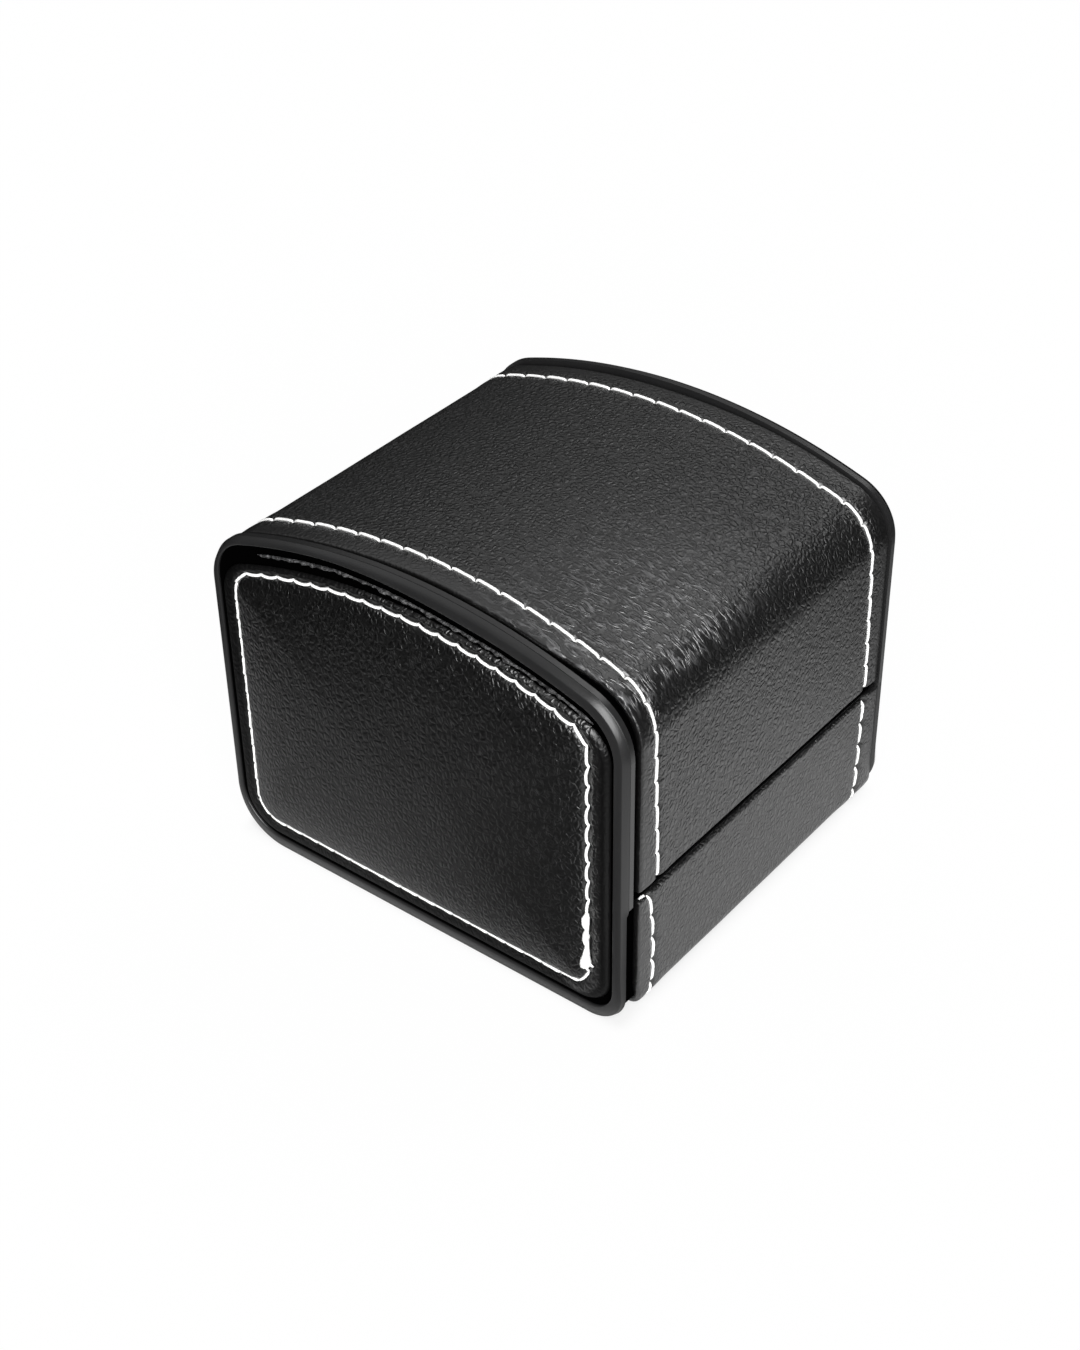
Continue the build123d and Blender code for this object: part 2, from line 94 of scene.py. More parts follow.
# ---- stitching ----
SADDLE_PITCH = 5.75
PANEL_PITCH = 4.45
LID_THREAD = {
    "Thread radius": 0.3, "Hump": 0.2, "Dip": 0.6, "Bluntness": 7.0, "Slant": 0.16, "Bow": 0.0,
}
BASE_THREAD = {
    "Thread radius": 0.31, "Hump": 0.16, "Dip": 1.6, "Bluntness": 3.0, "Slant": 0.24, "Bow": 0.12,
}
PANEL_THREAD = {
    "Thread radius": 0.29, "Hump": 0.26, "Dip": 0.15, "Bluntness": 5.0, "Slant": 0.1, "Bow": 0.34,
}
LID_ROW_X = 35.6
BASE_ROW_X = 35.6
LID_LEAN = {-1: (-1.2, 26.0), 1: (2.5, 52.0)}  # outwards at the parting line, and its reach
BASE_LEAN = (1.7, 12.0)      # the same of the base's left row
BASE_BOW = (2.3, 40.0)       # its right row lies further out by this, and less towards the foot
FOOT_BOW = (1.0, 27.5, 3.2)  # its left row bows out: by this, this far down, over this length
ROW_START = 0.7              # from the edge of a skin to the first hole
HOLE_DEPTH = 0.8
HOLE_RADIUS = 0.5
HOLE_PULL = 0.14             # the leather is drawn down round each hole
GROOVE_DEPTH = 0.26
GROOVE_RADIUS = 0.5
STITCH_UNEVENNESS = 0.15     # share by which the humps differ
STITCH_SWAY = 0.12           # by which the stitches lie aside of their row
STITCH_TAPER = 0.3           # share by which the thread is thinner at the holes
BEND_START = 2.0             # the leather bends along with a straying row, from here inwards
BEND_REACH = 16.0            # until this much further in
STITCH_SECTIONS = 14
FAR_FROM_SEAM = 30.0         # distance of a panel's middle from its seam
BEYOND_SEAM = 9.0            # a distance at which a seam has no effect on a skin's leather
STRAND_SIDES = 10

# ---- padded end panels ----
PANEL_GAP = 0.75             # round the panel, within the rim
PANEL_TOP_GAP = 2.9
PANEL_ROLL = 1.3
PANEL_SHOULDER_RADIUS = 8.0
PANEL_CENTRE = (0.0, 39.0)
LOOP_INSET = 7.35
LOOP_TOP_INSET = 7.3
LOOP_DROP = 0.3              # the loop's bottom lies lower by this
LOOP_SHIFT = 0.6             # of the stitched loop towards the rear
LOOP_SHOULDER_RADIUS = 6.5
LOOP_FEET = (4.0, 6.0)       # front and rear radius
PANEL_FEET = (6.5, 9.0)
BORDER_RISE = 0.35           # of the border strip over the rim
PUFF_RISE = 2.4              # of the padded middle over the border strip
PUFF_RUN = 12.0
SEAM_PUFF = 0.6              # swelling close beside the seam
SEAM_PUFF_RUN = 1.6
GATHER_DEPTH = 0.07          # of the small gathers that end at the holes
TURNED_EDGE_INSET = 4.8
TURNED_EDGE_START_Y = -42.6
TURNED_EDGE_END_Y = 37.0
TURNED_EDGE_SIDES = 10
TURNED_EDGE_HALF_WIDTH = 0.3
TURNED_EDGE_HALF_RISE = 0.34
KNOT_Z = 13.5
KNOT_PATH = [                # sway, rise and thickness of the knotted thread
    (0.0, 0.0, 0.35), (0.1, 0.25, 1.15), (0.1, 1.1, 1.05), (0.05, 2.6, 0.72),
    (-0.1, 4.8, 0.42), (0.2, 6.2, 0.66), (0.15, 7.5, 0.62), (-0.05, 8.9, 0.4),
    (0.15, 10.1, 0.74), (0.15, 11.5, 0.78), (-0.1, 12.8, 0.4),
]
KNOT_END = [(0, 0.7, 0.34), (0.9, 0.6, 0.26), (1.6, 0.35, 0.16)]
BASE_THREAD_END = [          # place and thickness of the curled end of the base's thread
    ((-38.9, -49.1, 29.1), 0.16), ((-38.95, -49.55, 29.5), 0.26), ((-39.3, -49.65, 29.75), 0.28),
    ((-39.8, -49.5, 29.7), 0.24), ((-40.2, -49.3, 29.4), 0.14),
]

# ---- watch pad ----
PAD_HALF_X = 38.9
PAD_HALF_Y = 44.2
PAD_BOTTOM_Z = 5.45
PAD_TOP_Z = 28.5
PAD_EDGE_RADIUS = 2.2
PAD_VOXEL = 0.85
CUT_CLEARANCE = 5.0          # of the cutters over the pad
WELL_RADIUS = 27.0
WELL_Y = -6.0
WELL_DEPTH = 13.0
BOW_SLOT_WIDTH = 18.0
BOW_SLOT_END_Y = 36.0
FINGER_RADIUS = 10.0
FINGER_X = 26.0
FINGER_DEPTH = 11.0

# ---- felt sheet ----
FELT_LENGTH = 76.0
FELT_WIDTH = 78.0
FELT_CORNER = 4.0
FELT_THICKNESS = 0.8

# ---- view ----
CAMERA_PLACE = Vector((-0.28848, -0.22547, 0.30384))
CAMERA_TARGET = Vector((-0.00430, 0.00148, 0.03669))
CAMERA_ROLL = -0.97          # degrees
CAMERA_LENS = 59.52
SENSOR_HEIGHT = 36.0
FLOOR_WHITENING = 0.96       # share of plain white in the floor as the camera sees it
SHADOW_WHITENING = 0.6       # the same close to the box, where its contact shadow lies
SHADOW_REACH = 4.0
# Painted reflection on the floor: mirrored rays see it plain white in front of the box, and painted
# black further off, on the left and far right.
MIRROR_FADE = (30.0, 140.0)  # the box's surfaces mirror the floor only this near to it
LEFT_FADE = (12.0, 75.0)     # the same on the left
LEFT_GLOOM = 0.68            # share of the mirrored floor that is dark on the left
LEFT_FRONT_GLOOM = 0.95      # the same beside the front half of the box
LEFT_FRONT_Y = (25.0, -20.0)
LEFT_REACH_Y = (-75.0, -45.0)
RIGHT_GLOOM = 0.5            # the same far to the right
RIGHT_REACH_X = (50.0, 95.0)
FRONT_REACH_X = (-110.0, -60.0)
FLOOR_HALF = 3.0             # metres
FOOTPRINT_X = 43.5
FOOTPRINT_Y = 47.5
WHITE = (1.0, 1.0, 1.0, 1.0)
AIR_LIGHT = (0.02, 0.02, 0.02, 1)
SOFTBOXES = (                # name, direction it shines from, strength and angle
    ("viewer_softbox", (-0.66, -0.56, 0.5), 4.4, 50),
    ("high_softbox", (-0.38, -0.46, 0.8), 0.6, 20),
    ("overhead_softbox", (0.0, 0.5, 0.86), 0.4, 60),
    ("shoulder_softbox", (0.62, -0.1, 0.78), 0.45, 26),
    ("rear_softbox", (0.6, 0.45, 0.66), 0.15, 40),
)


# ==== finishes ====
class Value:
    """A socket of a finish that takes part in plain arithmetic."""

    def __init__(self, finish, socket):
        self.finish = finish
        self.socket = socket

    def maths(self, operation, *others):
        inputs = dict(enumerate((self,) + others))
        return self.finish.node("ShaderNodeMath", {"operation": operation}, inputs)

    __add__ = __radd__ = partialmethod(maths, "ADD")
    __sub__ = partialmethod(maths, "SUBTRACT")
    __mul__ = __rmul__ = partialmethod(maths, "MULTIPLY")
    __pow__ = partialmethod(maths, "POWER")
    most = partialmethod(maths, "MAXIMUM")
    size = partialmethod(maths, "ABSOLUTE")
    wave = partialmethod(maths, "SINE")

    def __rsub__(self, other):
        return self.finish.node("ShaderNodeMath", {"operation": "SUBTRACT"}, {0: other, 1: self})

    def ramp(self, low, high):
        """0 at low, 1 at high, and smooth between them."""
        inputs = {"Value": self, "From Min": low, "From Max": high}
        return self.finish.node("ShaderNodeMapRange", {"interpolation_type": "SMOOTHSTEP"}, inputs)

    def part(self, axis):
        """One coordinate of a vector."""
        return self.finish.node("ShaderNodeSeparateXYZ", {}, {0: self}, "XYZ".index(axis))

    def stretched(self, x, y, z):
        inputs = {0: self, 1: (x, y, z)}
        return self.finish.node("ShaderNodeVectorMath", {"operation": "MULTIPLY"}, inputs)

    def shifted(self, other):
        return self.finish.node("ShaderNodeVectorMath", {"operation": "ADD"}, {0: self, 1: other})


class Finish:
    """A material whose pattern is worked out by nodes."""

    def __init__(self, name, **constants):
        self.material = bpy.data.materials.new(name)
        self.material.use_nodes = True
        self.tree = self.material.node_tree
        self.tree.nodes.clear()
        self.shader = self.tree.nodes.new("ShaderNodeBsdfPrincipled")
        self.output = self.tree.nodes.new("ShaderNodeOutputMaterial")
        self.tree.links.new(self.shader.outputs[0], self.output.inputs["Surface"])
        for socket, value in constants.items():
            self.shader.inputs[socket.replace("_", " ")].default_value = value

    def node(self, kind, settings, inputs, output=0):
        made = self.tree.nodes.new(kind)
        for name, value in settings.items():
            setattr(made, name, value)
        for socket, value in inputs.items():
            if isinstance(value, Value):
                self.tree.links.new(value.socket, made.inputs[socket])
            else:
                made.inputs[socket].default_value = value
        return Value(self, made.outputs[output])

    def places(self):
        """Place on the object, in millimetres."""
        place = self.node("ShaderNodeTexCoord", {}, {}, "Object")
        return place.stretched(1 / MM, 1 / MM, 1 / MM)

    def marks(self, attribute, kind="Vector"):
        """Vector or number that the mesh carries at each vertex."""
        return self.node("ShaderNodeAttribute", {"attribute_name": attribute}, {}, kind)

    def noise(self, place, size, detail=2.0, roughness=0.5):
        """Noise from 0 to 1 whose lumps are about size across."""
        inputs = {"Vector": place, "Scale": 1 / size, "Detail": detail, "Roughness": roughness}
        return self.node("ShaderNodeTexNoise", {}, inputs)

    def wander(self, place, size, reach):
        """The place, moved about by up to reach."""
        inputs = {"Vector": place, "Scale": 1 / size, "Detail": 1.0}
        drift = self.node("ShaderNodeTexNoise", {}, inputs, 1)
        centred = drift.shifted((-0.5, -0.5, -0.5)).stretched(2 * reach, 2 * reach, 2 * reach)
        return place.shifted(centred)

    def cells(self, place, size):
        """Distance from the border of a cell, as a share of the cells' size."""
        inputs = {"Vector": place, "Scale": 1 / size}
        return self.node("ShaderNodeTexVoronoi", {"feature": "DISTANCE_TO_EDGE"}, inputs)

    def mix(self, share, first, second):
        """Colour between two colours."""
        settings = {"data_type": "RGBA"}
        return self.node("ShaderNodeMix", settings, {0: share, 6: first, 7: second}, 2)

    def bump(self, height, depth, below=None):
        """Normal of a height from 0 to 1 that stands for depth millimetres."""
        inputs = {"Height": height, "Distance": depth * MM, "Strength": 1.0}
        if below:
            inputs["Normal"] = below
        return self.node("ShaderNodeBump", {}, inputs)

    def cover(self, share, kind, constants):
        """Another shader over the whole finish, by a share."""
        above = self.node(kind, {}, constants)
        below = Value(self, self.output.inputs["Surface"].links[0].from_socket)
        blended = self.node("ShaderNodeMixShader", {}, {0: share, 1: below, 2: above})
        self.tree.links.new(blended.socket, self.output.inputs["Surface"])

    def feed(self, **links):
        for socket, value in links.items():
            self.tree.links.new(value.socket, self.shader.inputs[socket.replace("_", " ")])
        return self.material


def grey(level):
    return (level, level, level * 1.02, 1.0)


def leather_finish(name, depth, low, high):
    """Black embossed leather: fine pebbles, creases where it is stretched with a painted highlight
    along them, painted shade in the stitch grooves and holes, and a black painted-shade cover where
    the mesh's shade mark is set.

    Its grain is up to depth millimetres deep, and its greys lie between low and high.
    """
    finish = Finish(name, Specular_IOR_Level=1.0)
    place = finish.places()
    loose = finish.wander(place, 1.6, 0.5)
    pebbles = finish.cells(loose.stretched(1.0, 1.0, 0.75), 1.15).ramp(0.0, 0.32)
    fine = finish.noise(place.stretched(1.0, 1.0, 0.8), 0.45, 2.0, 0.6)
    skin = finish.marks("skin")
    pull = skin.part("Z")
    along = finish.wander(skin, 3.0, 0.8).stretched(0.3, 1.0, 0.0)
    folds = finish.noise(along, 0.95, 1.0, 0.5)
    short = finish.noise(skin.stretched(0.45, 1.0, 0.0), 1.5, 1.0).ramp(0.4, 0.56)
    creases = (1.0 - ((folds - 0.5) * 9.0).size()).most(0.0) * short * pull
    seam = finish.marks("seam")
    near_seam = 1.0 - seam.part("Y").size().ramp(0.2, 1.1)
    inner = 1.0 - seam.part("Y").ramp(1.0, 4.0)
    sharp = creases * pull * pull
    tone = finish.mix(pebbles, grey(low), grey(high))
    # painted highlight: the creases are coloured light grey, standing in for the light they catch
    tone = finish.mix(sharp, tone, grey(0.13))
    # painted shade: the leather is coloured near black in the groove under the thread and round the
    # holes
    tone = finish.mix(near_seam * 0.8, tone, grey(0.002))
    strength = (1.0 - pull * 0.8) * (0.3 + inner * 0.7) * (1.0 - near_seam)
    grain = finish.bump((pebbles * 0.6 + fine * 0.4) * strength, depth)
    relief = finish.bump(sharp, 0.2, below=grain)
    rough = 0.41 - pebbles * 0.06 - creases * 0.08
    # painted shade: a black diffuse cover wherever the mesh's shade mark is set, on the panels'
    # border strips
    finish.cover(finish.marks("shade", "Fac"), "ShaderNodeBsdfDiffuse", {"Color": grey(0.003)})
    return finish.feed(Base_Color=tone, Roughness=rough, Normal=relief)


def turned_leather_finish():
    """Crumpled, glue-stiffened edge of the leather, coloured lighter grey on its crumples as a
    painted highlight.
    """
    finish = Finish("turned_leather_edge", Specular_IOR_Level=0.5)
    crumple = finish.noise(finish.wander(finish.places(), 1.2, 0.6), 0.7, 3.0, 0.65)
    # painted highlight: the crumples are coloured light grey, standing in for their glints
    tone = finish.mix(crumple.ramp(0.45, 0.7), grey(0.02), grey(0.14))
    rough = 0.3 + crumple * 0.14
    return finish.feed(Base_Color=tone, Roughness=rough, Normal=finish.bump(crumple, 0.5))


def plastic_finish(name, lit_from_x=None):
    """Satin moulded plastic with faint scuffs; painted shade colours it black where the mesh's
    shade mark is set, and on a shell where it faces the skins.

    Past lit_from_x on either side it is satin all over.
    """
    finish = Finish(name, Specular_IOR_Level=0.6)
    place = finish.places()
    mould = finish.noise(place, 0.35, 3.0, 0.6)
    flow = finish.noise(place.stretched(1.0, 1.0, 0.4), 11.0, 2.0)
    scuffs = finish.noise(place.stretched(1.0, 0.22, 0.5), 1.1, 4.0, 0.7).ramp(0.62, 0.8)
    tone = finish.mix(flow * 0.5 + scuffs * 0.5, grey(0.012), grey(0.024))
    rough = 0.3 + flow * 0.06 + scuffs * 0.12
    painted_shade_black = {"Color": grey(0.0006)}
    # painted shade: a black diffuse cover where the mesh's shade mark is set, in the end plates'
    # recesses
    finish.cover(finish.marks("shade", "Fac"), "ShaderNodeBsdfDiffuse", painted_shade_black)
    # painted shade on a shell beside the skins and above them, where the gaps between the parts lie
    # in shadow
    if lit_from_x:
        inwards = 1.0 - place.part("X").size().ramp(lit_from_x - 0.15, lit_from_x)
        beside = place.part("Y").size().ramp(REBATE_Y - 0.5, REBATE_Y)
        over = place.part("Z").ramp(REBATE_Z - 5.0, REBATE_Z)
        finish.cover(inwards * beside.most(over), "ShaderNodeBsdfDiffuse", painted_shade_black)
    return finish.feed(Base_Color=tone, Roughness=rough, Normal=finish.bump(mould, 0.012))


def velvet_finish():
    """Short black pile, brushed this way and that."""
    finish = Finish(
        "charcoal_velvet", Sheen_Weight=0.55, Sheen_Roughness=0.4, Specular_IOR_Level=0.15,
    )
    place = finish.places()
    brushed = finish.wander(place, 12.0, 5.0)
    nap = finish.noise(brushed, 9.0, 3.0, 0.6).ramp(0.3, 0.7)
    pile = finish.noise(place, 0.22, 3.0, 0.7)
    tone = finish.mix(nap * 0.6 + pile * 0.4, grey(0.016), grey(0.05))
    rough = 0.82 + nap * 0.12
    return finish.feed(Base_Color=tone, Roughness=rough, Normal=finish.bump(pile, 0.16))


def thread_finish():
    """White sewing thread of three plies."""
    finish = Finish("white_waxed_thread", Specular_IOR_Level=0.35)
    turn = finish.marks("thread_turn", "Fac") * (3.0 * 2 * pi)
    twist = (finish.marks("thread_length", "Fac") * 3.9 + turn).wave() * 0.5 + 0.5
    fuzz = finish.noise(finish.places(), 0.12, 3.0, 0.7)
    tone = finish.mix(twist * 0.7 + fuzz * 0.3, (0.9, 0.9, 0.89, 1), (1.0, 1.0, 0.99, 1))
    rough = 0.55 + fuzz * 0.25
    height = twist * 0.8 + fuzz * 0.2
    return finish.feed(Base_Color=tone, Roughness=rough, Normal=finish.bump(height, 0.04))


def nickel_finish():
    """Nickel-plated steel, tumbled."""
    finish = Finish("nickel_plated_steel", Metallic=1.0)
    place = finish.places()
    cloud = finish.noise(place, 2.5, 3.0)
    hairlines = finish.noise(place.stretched(0.3, 1.0, 8.0), 0.5, 3.0, 0.7)
    tone = finish.mix(cloud, (0.62, 0.61, 0.58, 1), (0.78, 0.77, 0.74, 1))
    rough = 0.24 + cloud * 0.1 + hairlines * 0.1
    return finish.feed(Base_Color=tone, Roughness=rough, Normal=finish.bump(hairlines, 0.01))


def card_finish():
    """Grey board with pressed fibres."""
    finish = Finish("grey_board", Specular_IOR_Level=0.2)
    place = finish.places()
    fibres = finish.noise(finish.wander(place, 3.0, 2.0).stretched(0.25, 1.0, 1.0), 0.5, 4.0, 0.7)
    tone = finish.mix(fibres, (0.2, 0.185, 0.165, 1), (0.36, 0.335, 0.3, 1))
    rough = 0.84 + fibres * 0.1
    return finish.feed(Base_Color=tone, Roughness=rough, Normal=finish.bump(fibres, 0.06))


def felt_finish():
    """Black pressed felt."""
    finish = Finish("black_felt", Sheen_Weight=0.3, Sheen_Roughness=0.6, Specular_IOR_Level=0.15)
    place = finish.places()
    tangle = finish.noise(finish.wander(place, 0.9, 0.8), 0.3, 4.0, 0.75)
    blotch = finish.noise(place, 6.0, 2.0)
    tone = finish.mix(tangle * 0.7 + blotch * 0.3, grey(0.014), grey(0.055))
    rough = 0.88 + tangle * 0.1
    return finish.feed(Base_Color=tone, Roughness=rough, Normal=finish.bump(tangle, 0.2))


def floor_finish():
    """Matt white studio floor that is seen almost pure white but still takes a soft shadow; in
    reflections it carries a painted reflection, plain white in front of the box and black further
    off, on the left and far right.
    """
    finish = Finish("white_studio_floor", Specular_IOR_Level=0.1)
    paper = finish.noise(finish.places(), 40.0, 2.0)
    tone = finish.mix(paper, (0.86, 0.86, 0.86, 1), (0.88, 0.88, 0.88, 1))
    finish.feed(Base_Color=tone, Roughness=0.8 + paper * 0.1)
    seen = finish.node("ShaderNodeLightPath", {}, {}, "Is Camera Ray")
    mirrored = finish.node("ShaderNodeLightPath", {}, {}, "Is Glossy Ray")
    place = finish.places()
    x, y = place.part("X"), place.part("Y")
    beyond_x = (x.size() - FOOTPRINT_X).most(0.0)
    beyond_y = (y.size() - FOOTPRINT_Y).most(0.0)
    beyond = (beyond_x * beyond_x + beyond_y * beyond_y) ** 0.5
    in_front = y.ramp(1 - FOOTPRINT_Y, -12 - FOOTPRINT_Y) * x.ramp(*FRONT_REACH_X)
    on_left = x.ramp(3 - FOOTPRINT_X, -15 - FOOTPRINT_X) * y.ramp(*LEFT_REACH_Y)
    on_right = x.ramp(*RIGHT_REACH_X) * RIGHT_GLOOM
    gloom = y.ramp(*LEFT_FRONT_Y) * (LEFT_FRONT_GLOOM - LEFT_GLOOM) + LEFT_GLOOM
    gloom = on_left * gloom.most(beyond.ramp(*LEFT_FADE)) * on_left.ramp(0.0, 0.1)
    gloom = gloom.most(on_right)
    white_light = {"Color": WHITE, "Strength": 1.0}
    # painted reflection: only mirrored rays see the floor in front glow plain white, and the floor
    # further off, on the left and far right painted black
    finish.cover(mirrored * in_front, "ShaderNodeEmission", white_light)
    painted_black_in_reflections = mirrored * beyond.ramp(*MIRROR_FADE).most(gloom)
    finish.cover(painted_black_in_reflections, "ShaderNodeBsdfDiffuse", {"Color": grey(0.0)})
    away = beyond.ramp(0.0, SHADOW_REACH)
    whitening = away * (FLOOR_WHITENING - SHADOW_WHITENING) + SHADOW_WHITENING
    finish.cover(seen * whitening, "ShaderNodeEmission", white_light)
    return finish.material


LEATHER_BLACK = leather_finish("black_pebbled_leather", 0.25, 0.003, 0.008)
# The panels' leather is a darker copy of the same leather: painted shade that keeps the end panels
# near black.
LEATHER_PANEL_SHADED = leather_finish("black_panel_leather_painted_shade", 0.2, 0.0008, 0.002)
TURNED_LEATHER = turned_leather_finish()
PLASTIC_BLACK = plastic_finish("satin_black_plastic")
SHADED_SHELL_BLACK = plastic_finish("satin_black_shell_painted_shade", FLANGE_X)
VELVET_CHARCOAL = velvet_finish()
THREAD_WHITE = thread_finish()
NICKEL = nickel_finish()
CARD_GREY = card_finish()
FELT_BLACK = felt_finish()


# ==== outlines in the YZ plane ====
class Outline:
    """Straights and arcs in the YZ plane, travelled with the outside on the left."""

    def __init__(self):
        self.spans = []

    def straight(self, start, end):
        length = hypot(end[0] - start[0], end[1] - start[1])
        self.spans.append(("straight", length, start, end))
        return self

    def arc(self, centre, radius, start, sweep):
        """Clockwise arc, with its start angle and sweep in radians."""
        self.spans.append(("arc", radius * sweep, centre, (radius, start)))
        return self

    def length(self):
        return sum(span[1] for span in self.spans)

    def at(self, distances):
        """Points and outward directions at the distances along the outline."""
        distances = np.clip(np.asarray(distances, float), 0, self.length())
        points = np.zeros((len(distances), 2))
        outward = np.zeros((len(distances), 2))
        begin = 0.0
        for kind, length, first, second in self.spans:
            here = (distances >= begin - 1e-9) & (distances <= begin + length + 1e-9)
            gone = distances[here] - begin
            if kind == "straight":
                way = (np.array(second) - np.array(first)) / length
                points[here] = np.array(first) + gone[:, None] * way
                outward[here] = (-way[1], way[0])
            else:
                radius, start = second
                angles = start - gone / radius
                radial = np.stack([np.cos(angles), np.sin(angles)], axis=1)
                points[here] = np.array(first) + radius * radial
                outward[here] = radial
            begin += length
        return points, outward

    def even(self, counts):
        """Points with a fixed count on each span, to match those of a similar outline."""
        distances = []
        begin = 0.0
        for span, count in zip(self.spans, counts):
            distances += list(begin + span[1] * np.arange(count) / count)
            begin += span[1]
        return self.at(distances)[0]


def shoulder_centre(half, radius, shoulder):
    """Height of a shoulder's centre, and its direction from the arch's centre."""
    rise = sqrt((radius - shoulder) ** 2 - (half - shoulder) ** 2)
    return ARCH_CENTRE_Z + rise, atan2(rise, half - shoulder)


def arch_outline(side, top, shoulder, front_z, rear_z):
    """Up the front, over the arch and down the back, moved in by side and top."""
    half = HALF_WIDTH - side
    radius = ARCH_RADIUS - top
    centre_z, lean = shoulder_centre(half, radius, shoulder)
    return (
        Outline()
        .straight((-half, front_z), (-half, centre_z))
        .arc((shoulder - half, centre_z), shoulder, pi, lean)
        .arc((0, ARCH_CENTRE_Z), radius, pi - lean, pi - 2 * lean)
        .arc((half - shoulder, centre_z), shoulder, lean, lean)
        .straight((half, centre_z), (half, rear_z))
    )


def closed_outline(side, top, bottom_z, shoulder, feet):
    """The whole arched outline; its feet have a front and a rear radius."""
    half = HALF_WIDTH - side
    front, rear = feet
    return (
        arch_outline(side, top, shoulder, bottom_z + front, bottom_z + rear)
        .arc((half - rear, bottom_z + rear), rear, 0, pi / 2)
        .straight((half - rear, bottom_z), (front - half, bottom_z))
        .arc((front - half, bottom_z + front), front, -pi / 2, pi / 2)
    )


def tub_outline():
    """Down the back, under the tray and up the front."""
    half = HALF_WIDTH - LEATHER_INSET
    foot = BASE_FOOT_RADIUS
    return (
        Outline()
        .straight((half, PARTING_Z - REAR_GAP), (half, SKIN_BOTTOM_Z + foot))
        .arc((half - foot, SKIN_BOTTOM_Z + foot), foot, 0, pi / 2)
        .straight((half - foot, SKIN_BOTTOM_Z), (foot - half, SKIN_BOTTOM_Z))
        .arc((foot - half, SKIN_BOTTOM_Z + foot), foot, -pi / 2, pi / 2)
        .straight((-half, SKIN_BOTTOM_Z + foot), (-half, PARTING_Z - SKIN_PARTING_GAP / 2))
    )


# ==== meshes ====
def placed(name, data):
    """Object of some data, at the scene's origin."""
    made = bpy.data.objects.new(name, data)
    bpy.context.scene.collection.objects.link(made)
    return made


def plain_mesh(holder):
    """Mesh that a holder's modifiers make, smooth and on its own."""
    ready = bpy.context.evaluated_depsgraph_get()
    mesh = bpy.data.meshes.new_from_object(holder.evaluated_get(ready))
    mesh.polygons.foreach_set("use_smooth", [True] * len(mesh.polygons))
    return mesh


def enclosed(points, faces):
    """Signed volume inside the faces: negative where they face inwards."""
    total = 0.0
    for face in faces:
        corners = points[list(face)]
        for second, third in zip(corners[1:-1], corners[2:]):
            total += np.dot(corners[0], np.cross(second, third))
    return total


def solid(name, points, faces, material, marks=None):
    """Object from points in millimetres; its faces are turned outwards."""
    points = np.asarray(points, float)
    if enclosed(points, faces) < 0:
        faces = [tuple(reversed(face)) for face in faces]
    mesh = bpy.data.meshes.new(name)
    mesh.from_pydata((points * MM).tolist(), [], [tuple(int(i) for i in face) for face in faces])
    for attribute, values in (marks or {}).items():
        values = np.asarray(values, np.float32)
        if values.ndim == 1:
            mesh.attributes.new(attribute, "FLOAT", "POINT").data.foreach_set("value", values)
        else:
            carried = mesh.attributes.new(attribute, "FLOAT_VECTOR", "POINT")
            carried.data.foreach_set("vector", values.ravel())
    mesh.polygons.foreach_set("use_smooth", [True] * len(mesh.polygons))
    mesh.materials.append(material)
    return placed(name, mesh)


def loft(rings, capped=True):
    """Faces between rings of the same number of points, with a cap on each open end."""
    count, around = rings
    faces = []
    for ring in range(count - 1):
        for step in range(around):
            here = ring * around + step
            following = ring * around + (step + 1) % around
            faces.append((here, following, following + around, here + around))
    if capped:
        faces.append(tuple(range(around))[::-1])
        faces.append(tuple(range((count - 1) * around, count * around)))
    return faces


def rolled(distance, radius):
    """How far a rolled edge has dropped at a distance from the edge."""
    inside = np.clip(1 - np.asarray(distance) / radius, 0, 1)
    return radius * (1 - np.sqrt(1 - inside**2))


def smooth(values, low, high):
    """0 at low, 1 at high, and smooth between them."""
    share = np.clip((values - low) / (high - low), 0, 1)
    return share * share * (3 - 2 * share)


def bell(distance, radius):
    return np.exp(-(np.asarray(distance) / radius) ** 2)


def seam_dents(count, pitch, away):
    """Depth of the groove under the thread and of the needle holes, away from the row."""
    to_hole = np.abs(count - np.round(count)) * pitch
    hole = HOLE_DEPTH * bell(np.hypot(to_hole, away), HOLE_RADIUS)
    pull = HOLE_PULL * bell(to_hole, 1.0) * bell(away, 1.3)
    return GROOVE_DEPTH * bell(away, GROOVE_RADIUS) + hole + pull


def ripple(first, second, seed):
    """Slow unevenness between -1 and 1."""
    rng = np.random.default_rng(seed)
    total = np.zeros(np.broadcast(first, second).shape)
    for _ in range(7):
        turn = rng.uniform(0, 2 * pi)
        wave = rng.uniform(11.0, 34.0)
        shift = rng.uniform(0, 2 * pi)
        total += np.sin(2 * pi * (first * cos(turn) + second * sin(turn)) / wave + shift)
    return total / 7


class Row:
    """Rows of stitches on both sides of a skin, x from its middle and straying outwards."""

    def __init__(self, outline, x, stray):
        self.outline = outline
        self.x = x
        self.stray = stray
        self.length = outline.length()
        self.start = ROW_START
        self.end = self.length - ROW_START
        self.stitches = round((self.end - self.start) / SADDLE_PITCH)
        self.pitch = (self.end - self.start) / self.stitches

    def count(self, distances):
        """Stitches gone by at a distance: a whole number at each hole."""
        return (distances - self.start) / self.pitch


def edge_steps(radius):
    """Distances from an edge where its roll needs points."""
    return radius * np.array([0.0, 0.08, 0.22, 0.42, 0.68, 1.0])


